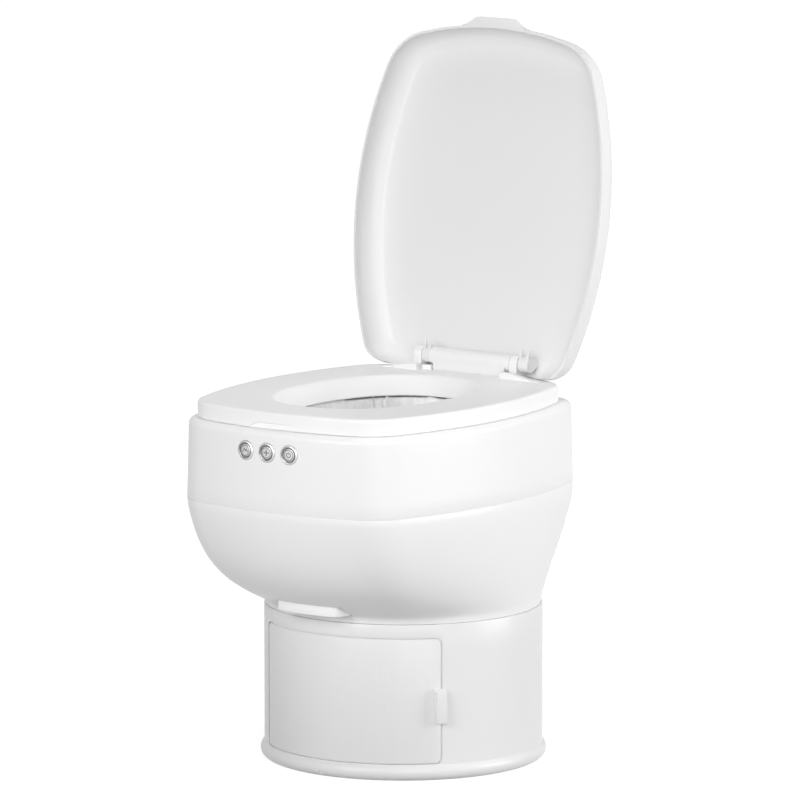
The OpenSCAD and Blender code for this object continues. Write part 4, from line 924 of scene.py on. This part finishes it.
def make_saddle():
    """The fixed barrel between the seat's knuckles, its front running down flat into the saddle."""
    left, right = BARREL_ENDS
    barrel = hinge_rod("hinge_barrel", left, right, BARREL_R, 96)
    foot = block("saddle", (-50, HINGE_Y - 10, 444.4), (60, HINGE_Y + 10, HINGE_Z))
    combine(barrel, foot, "UNION")
    combine(barrel, block("saddle_foot", (-50, HINGE_Y - 10, 444.4), (60, HINGE_Y + 12, 449.4)), "UNION")
    combine(barrel, hinge_rod("damper_bore", left - 1, right + 1, DAMPER_R))
    for x in (-41, 51):
        combine(barrel, rod("screw_pocket", 4.4, (x, HINGE_Y + 6.5, 449.4), (x, HINGE_Y + 6.5, 470)))
    soften(barrel, 0.3, 2, 50)
    finish(barrel, "bowl", "body_white", "hinge_saddle")


def bowl_ring(t, o):
    """The bowl's section, from its mouth at t = 0 to its outlet at t = 1, drawn in by o."""
    return mix(oval_ring(4 - o, BOWL_TOP), round_ring(OUTLET_R - o, OUTLET_Y, OUTLET_Z), t)


def make_film():
    """The film: it rolls over the cassette's inner wall and hangs in creased folds down the bowl."""
    rng = random.Random(7)
    n = len(BODY_ANGLES)
    creases = [(rng.random() * n, rng.uniform(1.0, 4.5), rng.uniform(0.15, 0.6), rng.uniform(-26, 26))
               for _ in range(34)]
    pleats = ((172, 6, 1.2, 10), (158, 3.5, 1.3, 12), (149.8, 2.2, 1.3, 14), (129, 3.2, 1.25, -9),
              (120.8, 1.6, 1.35, 0), (99.5, 2.2, 1.3, 7), (87.2, 2.0, 1.3, 5), (60, 3, 1.2, 3), (200, 4, 1.2, -8),
              (310, 3, 1.2, 5))
    for bearing, width, size, lean in pleats:
        at = min(range(n), key=lambda j: abs((math.degrees(LIP_ANGLES[j]) - bearing + 180) % 360 - 180))
        creases.append((at, width, size, lean))
    def fold(j, depth):
        """How far the film stands in from its wall at point j, depth from 0 at its top to 1 at its foot."""
        height = 0.0
        for at, width, size, lean in creases:
            d = abs((j - at - lean * depth + n / 2) % n - n / 2) / (width * (1 + 2.2 * depth))
            if d < 1:
                height = max(height, size * (1 - d) ** 1.4)
        return height
    rings = []
    def ring_at(base, depth, reach, centre_y, rise=0.0):
        """A ring of the film: base drawn in by the folds there, and raised by rise where they are deep."""
        ring = []
        for j, p in enumerate(base):
            f = fold(j, depth) * reach
            deep = min(1.0, max(0.0, fold(j, 0) - 0.45) / 0.55)
            p = (p[0], p[1], p[2] + rise * (0.3 + 0.7 * deep))
            c = Vector((0, -centre_y, p[2]))
            v = Vector(p) - c
            v = v * max(0.0, 1 - f / max(v.length, 1e-6))
            ring.append(tuple(c + v))
        return ring
    top = FILM_TOP
    lip = [(8.9, top - 14, 0), (8.8, top - 5, 0), (8.9, top + 1.0, 0), (8.6, top + 2.2, 0.2), (8.0, top + 2.9, 0.5),
           (7.3, top + 2.6, 0.8), (6.6, top + 1.2, 1.4), (6.0, top - 1.5, 2.0), (5.4, top - 6, 2.8),
           (4.9, top - 12, 3.5), (4.4, top - 20, 4.0), (4.0, BOWL_TOP + 2, 4.4)]
    for o, z, reach in lip:
        depth, rise = (0.0, 3.9) if z > top - 3 else ((top - z) / 90, 0.0)
        rings.append(ring_at(oval_ring(o, z), depth, reach, LIP_Y, rise))
    for t in (0.06, 0.14, 0.25, 0.37, 0.49, 0.6, 0.7, 0.79, 0.86):
        rings.append(ring_at(bowl_ring(t, 1.9), 0.3 + 0.6 * t, 4.8 - 1.8 * t, LIP_Y + (OUTLET_Y - LIP_Y) * t))
    for r, z in ((50, 296), (42, 293.4), (34, 291.4), (25, 290.2), (16, 288.8), (9, 287.9), (3, 287.6)):
        rings.append(ring_at(round_ring(r, OUTLET_Y, z), 1.0, 1.6, OUTLET_Y))
    film = loft("film_sleeve", rings, ends=(-1,))
    thickness = film.modifiers.new("film thickness", "SOLIDIFY")
    thickness.thickness, thickness.offset = 0.2 * MM, 0
    bpy.ops.object.modifier_apply(modifier=thickness.name)
    finish(film, "bowl", "film", "film_liner", angle=50)


# Floor and light

def make_world():
    """A world that is white where it is seen, and nearly dark where it lights."""
    sky = Sky("studio")
    seen = sky.ray("Is Camera Ray").most(sky.ray("Is Glossy Ray")).most(sky.ray("Is Transmission Ray"))
    sky.feed("Color", sky.between(seen, shade(0.03), shade(1.0)))
    bpy.context.scene.world = sky.world


def make_floor():
    """A pale floor that glows up to white away from the object, and keeps the object's shadow."""
    bpy.ops.object.select_all(action="DESELECT")
    bpy.ops.mesh.primitive_circle_add(vertices=96, radius=60.0, fill_type="NGON", location=(0, 0, 0))
    floor = bpy.context.object
    floor.name = "studio_floor"
    r = Recipe("floor_white", Base_Color=shade(0.45), Roughness=0.9, Specular_IOR_Level=0.0)
    reach = r.node("ShaderNodeVectorMath", {"operation": "LENGTH"}, {0: r.place}, out="Value")
    r.feed("Emission Color", r.node("ShaderNodeMapRange", {"interpolation_type": "SMOOTHSTEP"},
                                    {"Value": reach, "From Min": 0.6, "From Max": 2.8, "To Min": 0.8, "To Max": 1.0}))
    r.feed("Emission Strength", r.ray("Is Camera Ray").most(r.ray("Is Glossy Ray")))
    floor.data.materials.append(r.material)


def area_light(name, place, target, size, power):
    light = bpy.data.lights.new(name, "AREA")
    light.shape, light.size, light.size_y, light.energy = "RECTANGLE", size[0], size[1], power
    lamp = bpy.data.objects.new(name, light)
    bpy.context.scene.collection.objects.link(lamp)
    lamp.location = place
    lamp.rotation_euler = (Vector(target) - Vector(place)).to_track_quat("-Z", "Y").to_euler()


def make_lights():
    """Six soft lamps round the object. Their azimuths count from the camera's."""
    for name, azimuth, elevation, power in (("front", 0, 18, 33), ("right", 80, 12, 106), ("left", -40, 18, 82),
                                            ("top", 0, 88, 44), ("high_right", 60, 50, 8), ("low_front", 10, 4, 27)):
        a, e = math.radians(AZIMUTH + azimuth), math.radians(elevation)
        away = Vector((math.sin(a) * math.cos(e), -math.cos(a) * math.cos(e), math.sin(e)))
        area_light(name, Vector((0, 0, 0.42)) + 4 * away, (0, 0, 0.42), (2.2, 2.2), power)


place_camera()
bpy.context.scene.view_settings.view_transform = "Standard"
FINISHES = make_finishes()
for part in frame["record"]["subparts"]:
    node = frame["nodes"][part["node"]]
    node.data.materials.clear()
    node.data.materials.append(FINISHES[part["material_slot"]])
make_pedestal()
make_door()
make_pull()
make_belly()
make_rim()
make_release_tab()
make_buttons()
make_seat()
make_lid()
make_saddle()
make_film()
make_world()
make_floor()
make_lights()
